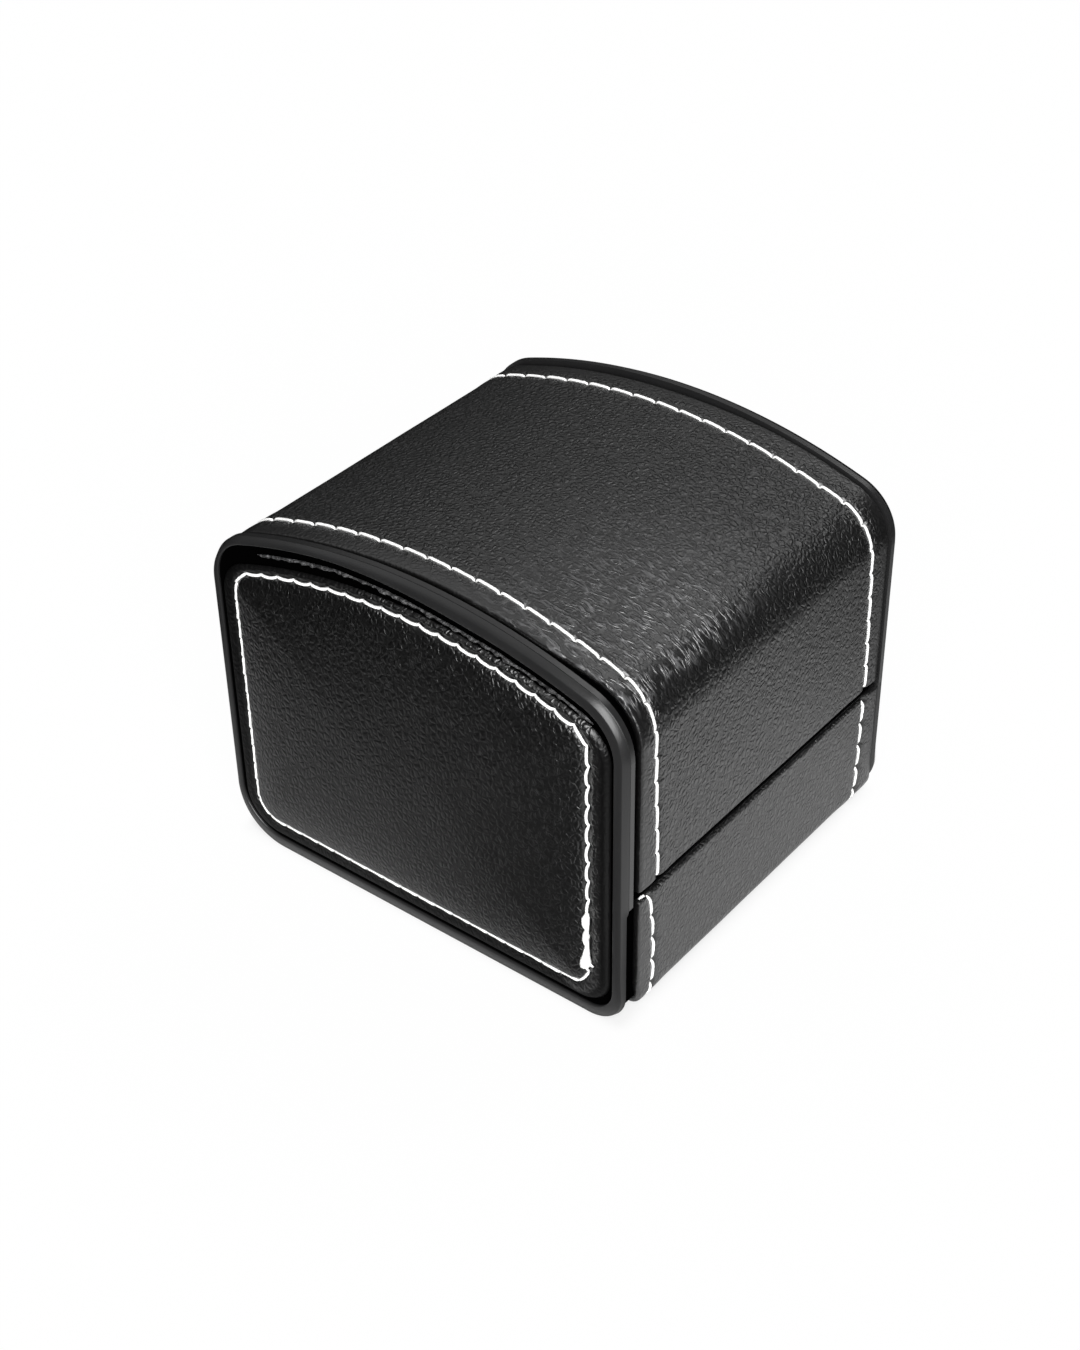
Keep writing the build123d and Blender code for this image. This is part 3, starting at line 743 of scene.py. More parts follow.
def skin_relief(along, across, row, half_span):
    """Height of the leather over its flat place, in millimetres."""
    away = np.abs(across) - row.x
    border = np.clip(away / (half_span - row.x), 0, 1)
    height = BORDER_SWELL * np.sin(pi * border)
    height = height + INNER_SWELL * bell(away + 2.2, 1.9)
    height = height + 0.05 * ripple(along, across, 4)
    height = height - seam_dents(row.count(along), row.pitch, away)
    edge = np.minimum(along, row.length - along)
    drop = np.hypot(rolled(half_span - np.abs(across), SKIN_ROLL), rolled(edge, SKIN_ROLL))
    return height - drop


def skin_grid(row, half_span):
    """Places along and across a skin, closer together at its edges and its rows of stitches."""
    ends = edge_steps(SKIN_ROLL)
    middle = np.linspace(ends[-1], row.length - ends[-1], int(row.length / 0.42))
    along = np.concatenate([ends[:-1], middle, (row.length - ends[:-1])[::-1]])
    half = np.concatenate([
        np.arange(0.0, row.x - 1.8, 1.15),
        np.linspace(row.x - 1.6, row.x + 1.4, 12),
        np.linspace(row.x + 1.7, half_span - SKIN_ROLL - 0.3, 4),
        half_span - ends[::-1],
    ])
    return along, np.concatenate([-half[:0:-1], half])


def swept(outline, along, across, height, sides, back):
    """Closed skin at a height over an outline; its two sides reach back under the outline."""
    points, outward = outline.at(along)
    count, width = across.shape
    place = np.zeros((count, width + 2, 3))
    place[:, :width, 0] = across
    place[:, :width, 1:] = points[:, None] + outward[:, None] * height[..., None]
    for column, x in enumerate(sides, width):
        place[:, column, 0] = x
        place[:, column, 1:] = points - outward * back
    return place.reshape(-1, 3), loft((count, width + 2))


def leather_skin(name, row, half_span, pull, edge_shift):
    """Closed skin of leather swept along an outline, with its rolled edges and seam dents.

    Its side edges lie further out by edge_shift(side, points), and the leather bends along
    with its straying rows of holes.
    """
    along, across = skin_grid(row, half_span)
    grid_s, flat_x = np.meshgrid(along, across, indexing="ij")
    points = row.outline.at(along)[0]
    shift = {side: edge_shift(side, points) for side in (-1, 1)}
    shifted = np.where(flat_x > 0, shift[1][:, None], -shift[-1][:, None])
    border_share = np.clip((np.abs(flat_x) - row.x) / (half_span - row.x), 0, 1)
    bent = np.where(flat_x > 0, row.stray(1, along)[:, None], -row.stray(-1, along)[:, None])
    bend_share = np.clip(1 - (row.x - BEND_START - np.abs(flat_x)) / BEND_REACH, 0, 1) ** 2
    bend_share = np.minimum(bend_share, np.clip((half_span - np.abs(flat_x)) / 1.8, 0, 1))
    grid_x = flat_x + border_share * shifted + bend_share * bent
    height = skin_relief(grid_s, flat_x, row, half_span)
    sides = (half_span + shift[1], -half_span - shift[-1])
    place, faces = swept(row.outline, along, grid_x, height, sides, LEATHER)
    count, width = grid_s.shape
    skin, seam = (np.zeros((count, width + 2, 3)) for _ in range(2))
    skin[:, :width, 0] = grid_s
    skin[:, :width, 1] = grid_x
    skin[:, :width, 2] = pull(grid_s, grid_x) if pull else 0.0
    skin[:, width:, 0] = along[:, None]
    seam[:, :width, 0] = row.count(grid_s)
    seam[:, :width, 1] = np.abs(flat_x) - row.x
    seam[:, width:, 1] = BEYOND_SEAM
    marks = {"skin": skin.reshape(-1, 3), "seam": seam.reshape(-1, 3)}
    return solid(name, place, faces, LEATHER_BLACK, marks)


# ==== stitches ====
def strand(name, centres, radii):
    """Closed tube of thread through centres, in millimetres; it carries its length and turn."""
    centres = np.asarray(centres, float)
    ways = np.gradient(centres, axis=0)
    ways /= np.linalg.norm(ways, axis=1)[:, None]
    side = np.cross(ways[0], (0.31, 0.77, 0.55))  # any direction but the thread's own
    points, gone, turns = [], [], []
    length = 0.0
    for index, (centre, way) in enumerate(zip(centres, ways)):
        side = side - way * np.dot(side, way)
        side /= np.linalg.norm(side)
        up = np.cross(side, way)
        if index:
            length += np.linalg.norm(centre - centres[index - 1])
        for step in range(STRAND_SIDES):
            angle = 2 * pi * step / STRAND_SIDES
            points.append(centre + radii[index] * (side * cos(angle) + up * sin(angle)))
            gone.append(length)
            turns.append(step / STRAND_SIDES)
    marks = {"thread_length": gone, "thread_turn": turns}
    return solid(name, points, loft((len(centres), STRAND_SIDES)), THREAD_WHITE, marks)


class Tree:
    """Geometry node tree that is put together node by node."""

    def __init__(self, name, inputs):
        self.group = bpy.data.node_groups.new(name, "GeometryNodeTree")
        for socket, kind in inputs.items():
            self.group.interface.new_socket(socket, in_out="INPUT", socket_type="NodeSocket" + kind)
        self.group.interface.new_socket("Result", in_out="OUTPUT", socket_type="NodeSocketGeometry")
        self.given = self.group.nodes.new("NodeGroupInput").outputs

    def add(self, kind, inputs=None, output=0, **settings):
        """Node with its settings, then its values and links; gives one of its outputs."""
        made = self.group.nodes.new(kind)
        for name, value in settings.items():
            setattr(made, name, value)
        for socket, value in (inputs or {}).items():
            if isinstance(value, bpy.types.NodeSocket):
                self.group.links.new(value, made.inputs[socket])
            else:
                made.inputs[socket].default_value = value
        return made.outputs[output] if len(made.outputs) else None

    def maths(self, operation, *values):
        return self.add("ShaderNodeMath", dict(enumerate(values)), operation=operation)

    def scaled(self, vector, amount):
        return self.add("ShaderNodeVectorMath", {0: vector, "Scale": amount}, operation="SCALE")

    def random(self, low, high, index, seed):
        inputs = {2: low, 3: high, "ID": index, "Seed": seed}
        return self.add("FunctionNodeRandomValue", inputs, 1, data_type="FLOAT")


def stitching_tree():
    """Runs a thread along every row: humped over each stitch and down into the hole after it."""
    inputs = {"Rows": "Geometry", "Stitches in a row": "Int", "Points in a row": "Int"}
    for look in ("Thread radius", "Hump", "Dip", "Bluntness", "Slant", "Bow", "Unevenness"):
        inputs[look] = "Float"
    inputs["Seed"] = "Int"
    inputs["Thread"] = "Material"
    tree = Tree("running_stitches", inputs)
    add, maths, given = tree.add, tree.maths, tree.given
    curve = add("GeometryNodeMeshToCurve", {"Mesh": given["Rows"]})
    curve = add("GeometryNodeResampleCurve", {
        "Curve": curve,
        "Count": given["Points in a row"],
    }, mode="COUNT")
    gone = add("GeometryNodeSplineParameter", output=1)
    curve = add("GeometryNodeStoreNamedAttribute", {
        "Geometry": curve,
        "Name": "thread_length",
        "Value": maths("DIVIDE", gone, MM),
    }, data_type="FLOAT", domain="POINT")
    share_gone = add("GeometryNodeSplineParameter")
    count = maths("MULTIPLY", share_gone, given["Stitches in a row"])
    number = maths("FLOOR", maths("ADD", count, 0.001))
    share = maths("MULTIPLY_ADD", maths("SUBTRACT", count, number), 2.0, -1.0)
    from_middle = maths("ABSOLUTE", share)
    blunt = given["Bluntness"]
    least = maths("SUBTRACT", 1.0, given["Unevenness"])
    most = maths("ADD", 1.0, given["Unevenness"])
    hump = maths("MULTIPLY", given["Hump"], tree.random(least, most, number, given["Seed"]))
    over = maths("SUBTRACT", 1.0, maths("POWER", from_middle, blunt))
    at_ends = maths("POWER", from_middle, maths("MULTIPLY", blunt, 2.0))
    dip = maths("MULTIPLY", given["Dip"], at_ends)
    rise = maths("SUBTRACT", maths("MULTIPLY", hump, over), dip)
    slant = maths("MULTIPLY", given["Slant"], share)
    sway = tree.random(-STITCH_SWAY, STITCH_SWAY, number, maths("ADD", given["Seed"], 7.0))
    round_over = maths("SUBTRACT", 1.0, maths("POWER", from_middle, 2.0))
    bow = maths("MULTIPLY", maths("ADD", sway, given["Bow"]), round_over)
    aside = maths("ADD", slant, bow)
    up = add("GeometryNodeInputNamedAttribute", {"Name": "up"}, data_type="FLOAT_VECTOR")
    along = add("GeometryNodeInputTangent")
    side = add("ShaderNodeVectorMath", {0: along, 1: up}, operation="CROSS_PRODUCT")
    lift = tree.scaled(up, maths("MULTIPLY", rise, MM))
    shift = tree.scaled(side, maths("MULTIPLY", aside, MM))
    curve = add("GeometryNodeSetPosition", {
        "Geometry": curve,
        "Offset": add("ShaderNodeVectorMath", {0: lift, 1: shift}, operation="ADD"),
    })
    profile = add("GeometryNodeCurvePrimitiveCircle", {"Resolution": STRAND_SIDES, "Radius": MM})
    profile = add("GeometryNodeStoreNamedAttribute", {
        "Geometry": profile,
        "Name": "thread_turn",
        "Value": add("GeometryNodeSplineParameter"),
    }, data_type="FLOAT", domain="POINT")
    taper = maths("MULTIPLY_ADD", maths("POWER", from_middle, 8.0), -STITCH_TAPER, 1.0)
    mesh = add("GeometryNodeCurveToMesh", {
        "Curve": curve,
        "Profile Curve": profile,
        "Scale": maths("MULTIPLY", taper, given["Thread radius"]),
        "Fill Caps": True,
    })
    mesh = add("GeometryNodeRealizeInstances", {"Geometry": mesh})
    mesh = add("GeometryNodeSetMaterial", {"Geometry": mesh, "Material": given["Thread"]})
    add("NodeGroupOutput", {"Result": mesh})
    return tree.group


STITCHING = stitching_tree()


def sewn(name, rows, closed, look, stitches, seed):
    """Threads of some rows, each a pair of points and outward directions, as one plain mesh."""
    guide = bpy.data.meshes.new(name + "_guide")
    points = np.concatenate([row[0] for row in rows])
    outward = np.concatenate([row[1] for row in rows])
    edges = []
    first = 0
    for row in rows:
        last = first + len(row[0]) - 1
        edges += [(step, step + 1) for step in range(first, last)]
        if closed:
            edges.append((last, first))
        first = last + 1
    guide.from_pydata((points * MM).tolist(), edges, [])
    up = guide.attributes.new("up", "FLOAT_VECTOR", "POINT")
    up.data.foreach_set("vector", outward.astype(np.float32).ravel())
    holder = placed(name + "_guide", guide)
    modifier = holder.modifiers.new("stitching", "NODES")
    modifier.node_group = STITCHING
    values = {
        **look,
        "Stitches in a row": stitches,
        "Points in a row": stitches * STITCH_SECTIONS + (0 if closed else 1),
        "Unevenness": STITCH_UNEVENNESS,
        "Seed": seed,
        "Thread": THREAD_WHITE,
    }
    for item in STITCHING.interface.items_tree:
        if item.item_type == "SOCKET" and item.name in values:
            modifier[item.identifier] = values[item.name]
    mesh = plain_mesh(holder)
    bpy.data.objects.remove(holder)
    mesh.name = name
    return placed(name, mesh)


def saddle_rows(row):
    """The left and the right row of a skin, on its surface."""
    along = np.linspace(row.start, row.end, 6 * row.stitches)
    points, outward = row.outline.at(along)
    normal = np.concatenate([np.zeros((len(along), 1)), outward], axis=1)
    rows = []
    for side in (-1, 1):
        x = side * (row.x + row.stray(side, along))
        rows.append((np.column_stack([x, points - outward * GROOVE_DEPTH]), normal))
    return rows


# ==== saddles of lid and base ====
def arch_pull(along, across):
    """How far the leather is stretched into creases: most on the arch, just behind its front."""
    points, outward = LID_OUTLINE.at(along.ravel())
    facing_up = smooth(outward[:, 1], 0.3, 0.8).reshape(along.shape)
    front = smooth(points[:, 0], 12.0, -36.0).reshape(along.shape)
    left = 0.15 + 0.85 * smooth(across, 26.0, -18.0)
    return facing_up * front * left


def front_share(points):
    """1 at the front of the box and 0 behind its middle, smooth between them."""
    return smooth(points[:, 0], FULL_REACH_Y + REACH_FADE, FULL_REACH_Y)


def lid_edge_shift(side, points):
    """The lid's skin leaves a wider groove on the left in front, and a narrow one on the right."""
    if side > 0:
        return LID_REACH * front_share(points)
    front, rear = LID_LEFT_REACH
    return rear * smooth(points[:, 0], -5.0, 20.0) + front * smooth(points[:, 0], -26.0, -42.0)


def base_edge_shift(side, points):
    """The base's skin reaches the right end plate in front, and is cut back at the left foot."""
    if side > 0:
        return BASE_REACH * front_share(points)
    at_foot = smooth(points[:, 1], 8.0, 0.0) * smooth(points[:, 0], -30.0, -44.0)
    return BASE_FOOT_REACH * at_foot


def lid_stray(side, along):
    """The lid's rows lean to the right near the parting line."""
    lean, reach = LID_LEAN[side]
    return lean * np.clip(1 - along / reach, 0, 1)


def base_stray(side, along):
    """The base's left row lies further out at its top and foot, and the right one throughout."""
    down = BASE_OUTLINE.length() - along
    if side > 0:
        return BASE_BOW[0] * bell(down, BASE_BOW[1])
    lean, reach = BASE_LEAN
    bow, foot, width = FOOT_BOW
    return lean * np.clip(1 - down / reach, 0, 1) ** 2 + bow * bell(down - foot, width) - 0.1


LID_OUTLINE = arch_outline(
    LEATHER_INSET, LEATHER_INSET, SHOULDER_RADIUS - LEATHER_INSET,
    PARTING_Z + SKIN_PARTING_GAP / 2, PARTING_Z + REAR_GAP,
)
BASE_OUTLINE = tub_outline()
LID_ROW = Row(LID_OUTLINE, LID_ROW_X, lid_stray)
BASE_ROW = Row(BASE_OUTLINE, BASE_ROW_X, base_stray)


def saddle(body, row, half_span, pull, edge_shift, look, seed):
    """Leather skin of the lid or the base, with its two rows of stitching."""
    skin = leather_skin(body + "_leather_skin", row, half_span, pull, edge_shift)
    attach(skin, body)
    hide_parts(body + "_leather")
    thread = sewn(body + "_seam_thread", saddle_rows(row), False, look, row.stitches, seed)
    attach(thread, body)


def base_thread_end():
    """Short curled end of thread at the top of the base's left row."""
    centres, radii = zip(*BASE_THREAD_END)
    made = strand("base_thread_end", centres, radii)
    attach(made, "base")


# ==== padded panels ====
SPAN_POINTS = [90, 24, 130, 24, 90, 20, 130, 20]
BORDER_SHARES = [0, 0.02, 0.06, 0.12, 0.2, 0.3, *np.linspace(0.4, 1, 8)]
INWARD_SHARES = np.array([
    0.3, 0.6, 0.9, 1.3, 1.8, 2.4, 3.2, 4.2, 5.4, 6.8,
    8.4, 10.2, 12.4, 15, 18, 21.5, 25, 29, 33, 36.5,
]) / 40.0


def nearest(points, line):
    """Distance of each point from a closed line of points."""
    ways = np.roll(line, -1, axis=0) - line
    lengths = (ways**2).sum(axis=1)
    found = np.full(len(points), 1e9)
    for start, way, length in zip(line, ways, lengths):
        share = np.clip(((points - start) @ way) / length, 0, 1)
        gap = points - start - share[:, None] * way
        found = np.minimum(found, np.hypot(gap[:, 0], gap[:, 1]))
    return found


def cushion(name, side, edge, loop, centre, back_x, face_x, relief, material, shift=(0.0, 0.0)):
    """Closed crowned panel: rings from the back's edge, over the loop, to the middle."""
    edge_points = edge.even(SPAN_POINTS) + (shift[0], 0.0)
    loop_points = loop.even(SPAN_POINTS) + (shift[1], 0.0)
    around = len(edge_points)
    gaps = np.linalg.norm(np.roll(loop_points, -1, axis=0) - loop_points, axis=1)
    gone = np.concatenate([[0.0], np.cumsum(gaps)[:-1]])
    stitches = round(gaps.sum() / PANEL_PITCH)
    count = gone / gaps.sum() * stitches
    rings = [edge_points]
    for share in BORDER_SHARES:
        rings.append(edge_points + share * (loop_points - edge_points))
    border_count = around * len(rings)
    for share in INWARD_SHARES:
        rings.append(loop_points + share * (np.array(centre) - loop_points))
    flat = np.concatenate(rings)
    from_edge = nearest(flat, edge_points)
    from_loop = nearest(flat, loop_points)
    inside = np.arange(len(flat)) >= border_count
    counts = np.tile(count, len(rings))
    height = relief(flat, from_edge, from_loop, inside, counts)
    depth = face_x + height
    depth[:around] = back_x
    points = np.stack([side * depth, flat[:, 0], flat[:, 1]], axis=1)
    far = np.array([FAR_FROM_SEAM])
    middle_height = relief(np.array([centre]), far, far, np.array([True]), np.array([0.25]))[0]
    extra = [(side * (face_x + middle_height), *centre), (side * back_x, *centre)]
    faces = loft((len(rings), around), capped=False)
    front_pole = len(flat)
    back_pole = front_pole + 1
    last = (len(rings) - 1) * around
    for step in range(around):
        following = (step + 1) % around
        faces.append((last + step, last + following, front_pole))
        faces.append((following, step, back_pole))
    skin = np.zeros((len(flat) + 2, 3))
    skin[:len(flat), :2] = flat
    seam = np.zeros((len(flat) + 2, 3))
    seam[:len(flat), 0] = counts
    seam[:len(flat), 1] = np.where(inside, -from_loop, from_loop)
    seam[len(flat):, 1] = -FAR_FROM_SEAM
    shade = np.zeros(len(flat) + 2)
    # painted shade on the border strip outside the stitches, carried by the shade mark
    shade[:len(flat)] = border_shade(flat, from_loop) * ~inside
    marks = {"skin": skin, "seam": seam, "shade": shade}
    made = solid(name, np.concatenate([points, extra]), faces, material, marks)
    return made, loop_points, stitches


def border_shade(flat, from_loop):
    """Share of painted shade on the border strip: its outer part in front, nearly all of it
    elsewhere.
    """
    front = smooth(flat[:, 0], -34.0, -40.0)
    top = smooth(flat[:, 1], 60.0, 66.0) * smooth(flat[:, 0], 25.0, 0.0)
    start = 0.4 + 1.8 * front + 0.9 * (1 - front) * top
    return 0.75 * np.clip((from_loop - start) / 0.8, 0, 1)


def panel_relief(flat, from_edge, from_loop, inside, count):
    """Border strip, stitched groove, and padded middle with small gathers at the holes."""
    puff = PUFF_RISE * (1 - np.exp(-from_loop / PUFF_RUN))
    puff = (puff + SEAM_PUFF * (1 - np.exp(-from_loop / SEAM_PUFF_RUN))) * inside
    gathers = GATHER_DEPTH * np.cos(2 * pi * count) * np.exp(-from_loop / 1.6)
    height = BORDER_RISE + puff + gathers - seam_dents(count, PANEL_PITCH, from_loop)
    uneven = 0.1 * inside * ripple(flat[:, 0], flat[:, 1], 8) * (1 - np.exp(-from_loop / 6))
    height = height + uneven
    slope = 0.3 * np.clip(1 - from_edge / (2 * PANEL_ROLL), 0, 1) ** 2
    return height - slope - rolled(from_edge, PANEL_ROLL)


def frame_outline(amount):
    """Outline of an end plate, moved in all round."""
    feet = (FRONT_FOOT_RADIUS - amount, REAR_FOOT_RADIUS - amount)
    return closed_outline(amount, amount, PLATE_GROUND_GAP + amount, SHOULDER_RADIUS - amount, feet)


def bevelled(inset):
    """Points of an end plate's outline, moved in by inset, but less near the foot."""
    full = frame_outline(0).even(SPAN_POINTS)
    share = 0.35 + 0.65 * smooth(full[:, 1], 2.0, 14.0)
    return full + share[:, None] * (frame_outline(inset).even(SPAN_POINTS) - full)


def recess_rise(flat):
    """How far the top of a recess lies higher than the even arch, towards the rear."""
    return RECESS_RISE * smooth(flat[:, 0], -18.0, 22.0) * smooth(flat[:, 1], 56.0, 68.0)


def recess(grow):
    """Points of the recess in an end plate, moved out all round by grow."""
    side = RIM_WIDTH - grow
    feet = (FRONT_FOOT_RADIUS - side, REAR_FOOT_RADIUS - side)
    flat = closed_outline(
        side, RIM_TOP_WIDTH - grow, PLATE_GROUND_GAP + side, SHOULDER_RADIUS - side, feet,
    ).even(SPAN_POINTS)
    return flat + np.column_stack([np.full(len(flat), RECESS_SHIFT), recess_rise(flat)])


def end_frame(side_name, side):
    """Smooth moulded end plate: bevelled outer edge, flat rim, and the recess for the panel."""
    soft = RIM_SOFTNESS
    levels = [
        # place, outline and share of painted shade, plain black
        (PLATE_BACK_X, bevelled(0.05), 0.0),
        (PLATE_BACK_X + 0.05, bevelled(0.0), 0.0),
        (RIM_X - BEVEL_DEPTH - soft, bevelled(0.0), 0.0),
        (RIM_X - BEVEL_DEPTH + soft, bevelled(0.07), 0.0),
        (RIM_X - soft, bevelled(BEVEL_INSET - soft), 0.0),
        (RIM_X, bevelled(BEVEL_INSET + soft), 0.0),
    ]
    for angle in np.linspace(0, pi / 2, 5):
        grow = RIM_INNER_BREAK * (1 - sin(angle))
        levels.append((RIM_X - RIM_INNER_BREAK * (1 - cos(angle)), recess(grow), 0.0))
    # painted shade: the recess's floor is coloured plain black
    levels.append((RECESS_FLOOR_X + soft, recess(0), 1.0))
    levels.append((RECESS_FLOOR_X, recess(-soft), 1.0))
    thinning = SKIRT_THINNING if side < 0 else 0.0
    rings, shade = [], []
    for x, flat, painted_shade_share in levels:
        back = PLATE_BACK_X + thinning * np.clip(PARTING_Z - flat[:, 1], 0, 1)
        rings.append(np.column_stack([side * np.maximum(x, back), flat]))
        shade.append(np.full(len(flat), painted_shade_share))
    faces = loft((len(rings), len(rings[0])))
    marks = {"shade": np.concatenate(shade)}
    made = solid(side_name + "_end_frame", np.concatenate(rings), faces, PLASTIC_BLACK, marks)
    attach(made, "lid")
    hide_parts(side_name + "_end_plate")


def turned_edge(side_name, side):
    """Crumpled edge of the leather, turned down into the recess above the panel."""
    inset = TURNED_EDGE_INSET
    outline = arch_outline(inset, inset, SHOULDER_RADIUS - inset, 50.0, 50.0)
    along = np.arange(0.0, outline.length(), 0.3)
    points, outward = outline.at(along)
    kept = (points[:, 0] > TURNED_EDGE_START_Y) & (points[:, 0] < TURNED_EDGE_END_Y)
    along, points, outward = along[kept], points[kept], outward[kept]
    points = points + np.column_stack([np.zeros(len(points)), recess_rise(points)])
    rng = np.random.default_rng(31)
    lumps = np.convolve(rng.normal(size=len(along) + 6), np.hanning(7) / 1.8, "valid")
    sway = np.convolve(rng.normal(size=len(along) + 24), np.hanning(25) / 6.0, "valid")
    ends = np.clip(np.minimum(along - along[0], along[-1] - along) / 3.0, 0.05, 1) ** 0.5
    lumps = np.clip(lumps, -1, 1.5)
    width = (TURNED_EDGE_HALF_WIDTH + 0.1 * lumps) * ends
    rise = (TURNED_EDGE_HALF_RISE + 0.12 * lumps) * ends
    flat = points + outward * (0.1 * sway)[:, None]
    rings = []
    for angle in np.linspace(0, 2 * pi, TURNED_EDGE_SIDES, endpoint=False):
        away = flat + outward * (width * cos(angle))[:, None]
        x = side * (RECESS_FLOOR_X + rise + rise * sin(angle))
        rings.append(np.column_stack([x, away]))
    around = np.stack(rings, axis=1).reshape(-1, 3)
    faces = loft((len(along), TURNED_EDGE_SIDES))
    made = solid(side_name + "_turned_edge", around, faces, TURNED_LEATHER)
    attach(made, "lid")


def left_knot():
    """Knot that closes the left panel's seam, and its short end."""
    x = -(RIM_X + BORDER_RISE + 0.25)
    y = LOOP_INSET + LOOP_SHIFT - HALF_WIDTH
    centres = [(x - 0.1 - 0.3 * thick, y + sway, KNOT_Z + rise) for sway, rise, thick in KNOT_PATH]
    knot = strand("left_thread_knot", centres, [thick for _, _, thick in KNOT_PATH])
    centres = [(x - 0.3, y - sway, KNOT_Z + rise) for sway, rise, _ in KNOT_END]
    end = strand("left_thread_end", centres, [thick for _, _, thick in KNOT_END])
    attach(knot, "lid")
    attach(end, "lid")


def panel(side_name, side, seed):
    """Padded leather panel in an end plate's recess, with its closed loop of stitching."""
    side_inset = RIM_WIDTH + PANEL_GAP
    edge = closed_outline(
        side_inset, RIM_TOP_WIDTH + PANEL_TOP_GAP, PLATE_GROUND_GAP + side_inset,
        PANEL_SHOULDER_RADIUS, PANEL_FEET,
    )
    loop = closed_outline(
        LOOP_INSET, LOOP_TOP_INSET, PLATE_GROUND_GAP + LOOP_INSET - LOOP_DROP,
        LOOP_SHOULDER_RADIUS, LOOP_FEET,
    )
    cover, loop_points, stitches = cushion(
        side_name + "_panel_cover", side, edge, loop, PANEL_CENTRE, RECESS_FLOOR_X, RIM_X,
        panel_relief, LEATHER_PANEL_SHADED, (RECESS_SHIFT, LOOP_SHIFT),
    )
    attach(cover, "lid")
    hidden = [side_name + inner for inner in ("_panel_leather", "_panel_foam", "_panel_board")]
    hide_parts(*hidden)
    x = np.full(len(loop_points), side * (RIM_X + BORDER_RISE - GROOVE_DEPTH + 0.05))
    place = np.column_stack([x, loop_points])
    normal = np.tile([float(side), 0.0, 0.0], (len(place), 1))
    look = dict(PANEL_THREAD, Bow=side * PANEL_THREAD["Bow"])
    thread = sewn(side_name + "_panel_thread", [(place, normal)], True, look, stitches, seed)
    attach(thread, "lid")


# ==== inside ====
def lid_lining():
    """Velvet skin over the inside of the arch."""
    outline = arch_outline(
        CAVITY_INSET, CAVITY_INSET, SHOULDER_RADIUS - CAVITY_INSET, LINING_START_Z, LINING_START_Z,
    )
    length = outline.length()
    ends = edge_steps(LINING_ROLL)
    middle = np.linspace(LINING_ROLL, length - LINING_ROLL, int(length / 1.5))
    along = np.concatenate([ends[:-1], middle, (length - ends[:-1])[::-1]])
    across = np.linspace(-CAVITY_X, CAVITY_X, 48)
    grid_s, grid_x = np.meshgrid(along, across, indexing="ij")
    drop = rolled(np.minimum(grid_s, length - grid_s), LINING_ROLL)
    depth = LINING - drop + 0.05 * ripple(grid_s, grid_x, 12)
    place, faces = swept(outline, along, grid_x, -depth, (CAVITY_X, -CAVITY_X), 0.0)
    made = solid("lid_velvet_lining", place, faces, VELVET_CHARCOAL)
    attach(made, "lid")
    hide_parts("lid_arch_lining")


def lining_relief(flat, from_edge, from_loop, inside, count):
    """Depth of an end lining's face: as panel_relief, but it faces the middle of the box."""
    return rolled(from_edge, LINING_ROLL) - 0.06 * ripple(flat[:, 0], flat[:, 1], 21)


def end_lining(side_name, side):
    """Velvet on the inside of an end wall; it faces the middle of the box."""
    inset = CAVITY_INSET + LINING
    shoulder = SHOULDER_RADIUS - inset
    edge = closed_outline(inset, inset, LINING_START_Z, shoulder, (1.5, 1.5))
    loop = closed_outline(inset + 2, inset + 2, LINING_START_Z + 2, shoulder - 2, (1.0, 1.0))
    made = cushion(
        side_name + "_velvet_end", side, edge, loop, (0.0, 52.0), CAVITY_X, CAVITY_X - LINING,
        lining_relief, VELVET_CHARCOAL,
    )[0]
    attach(made, "lid")
    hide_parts(side_name + "_lid_end_lining")


def drawn(name, shape):
    """Object of a shape that was drawn with bmesh."""
    mesh = bpy.data.meshes.new(name)
    shape.to_mesh(mesh)
    shape.free()
    return placed(name, mesh)


def block(name, low, high):
    """Plain block, used only to cut or start another shape."""
    shape = bmesh.new()
    bmesh.ops.create_cube(shape, size=1.0)
    for vertex in shape.verts:
        for axis in range(3):
            middle = (low[axis] + high[axis]) / 2
            vertex.co[axis] = (middle + vertex.co[axis] * (high[axis] - low[axis])) * MM
    return drawn(name, shape)


def drum(name, x, y, radius, low_z, high_z):
    """Upright cylinder, used only to cut another shape."""
    shape = bmesh.new()
    place = Matrix.Translation((x * MM, y * MM, (low_z + high_z) / 2 * MM))
    bmesh.ops.create_cone(
        shape, cap_ends=True, segments=96, radius1=radius * MM, radius2=radius * MM,
        depth=(high_z - low_z) * MM, matrix=place,
    )
    return drawn(name, shape)


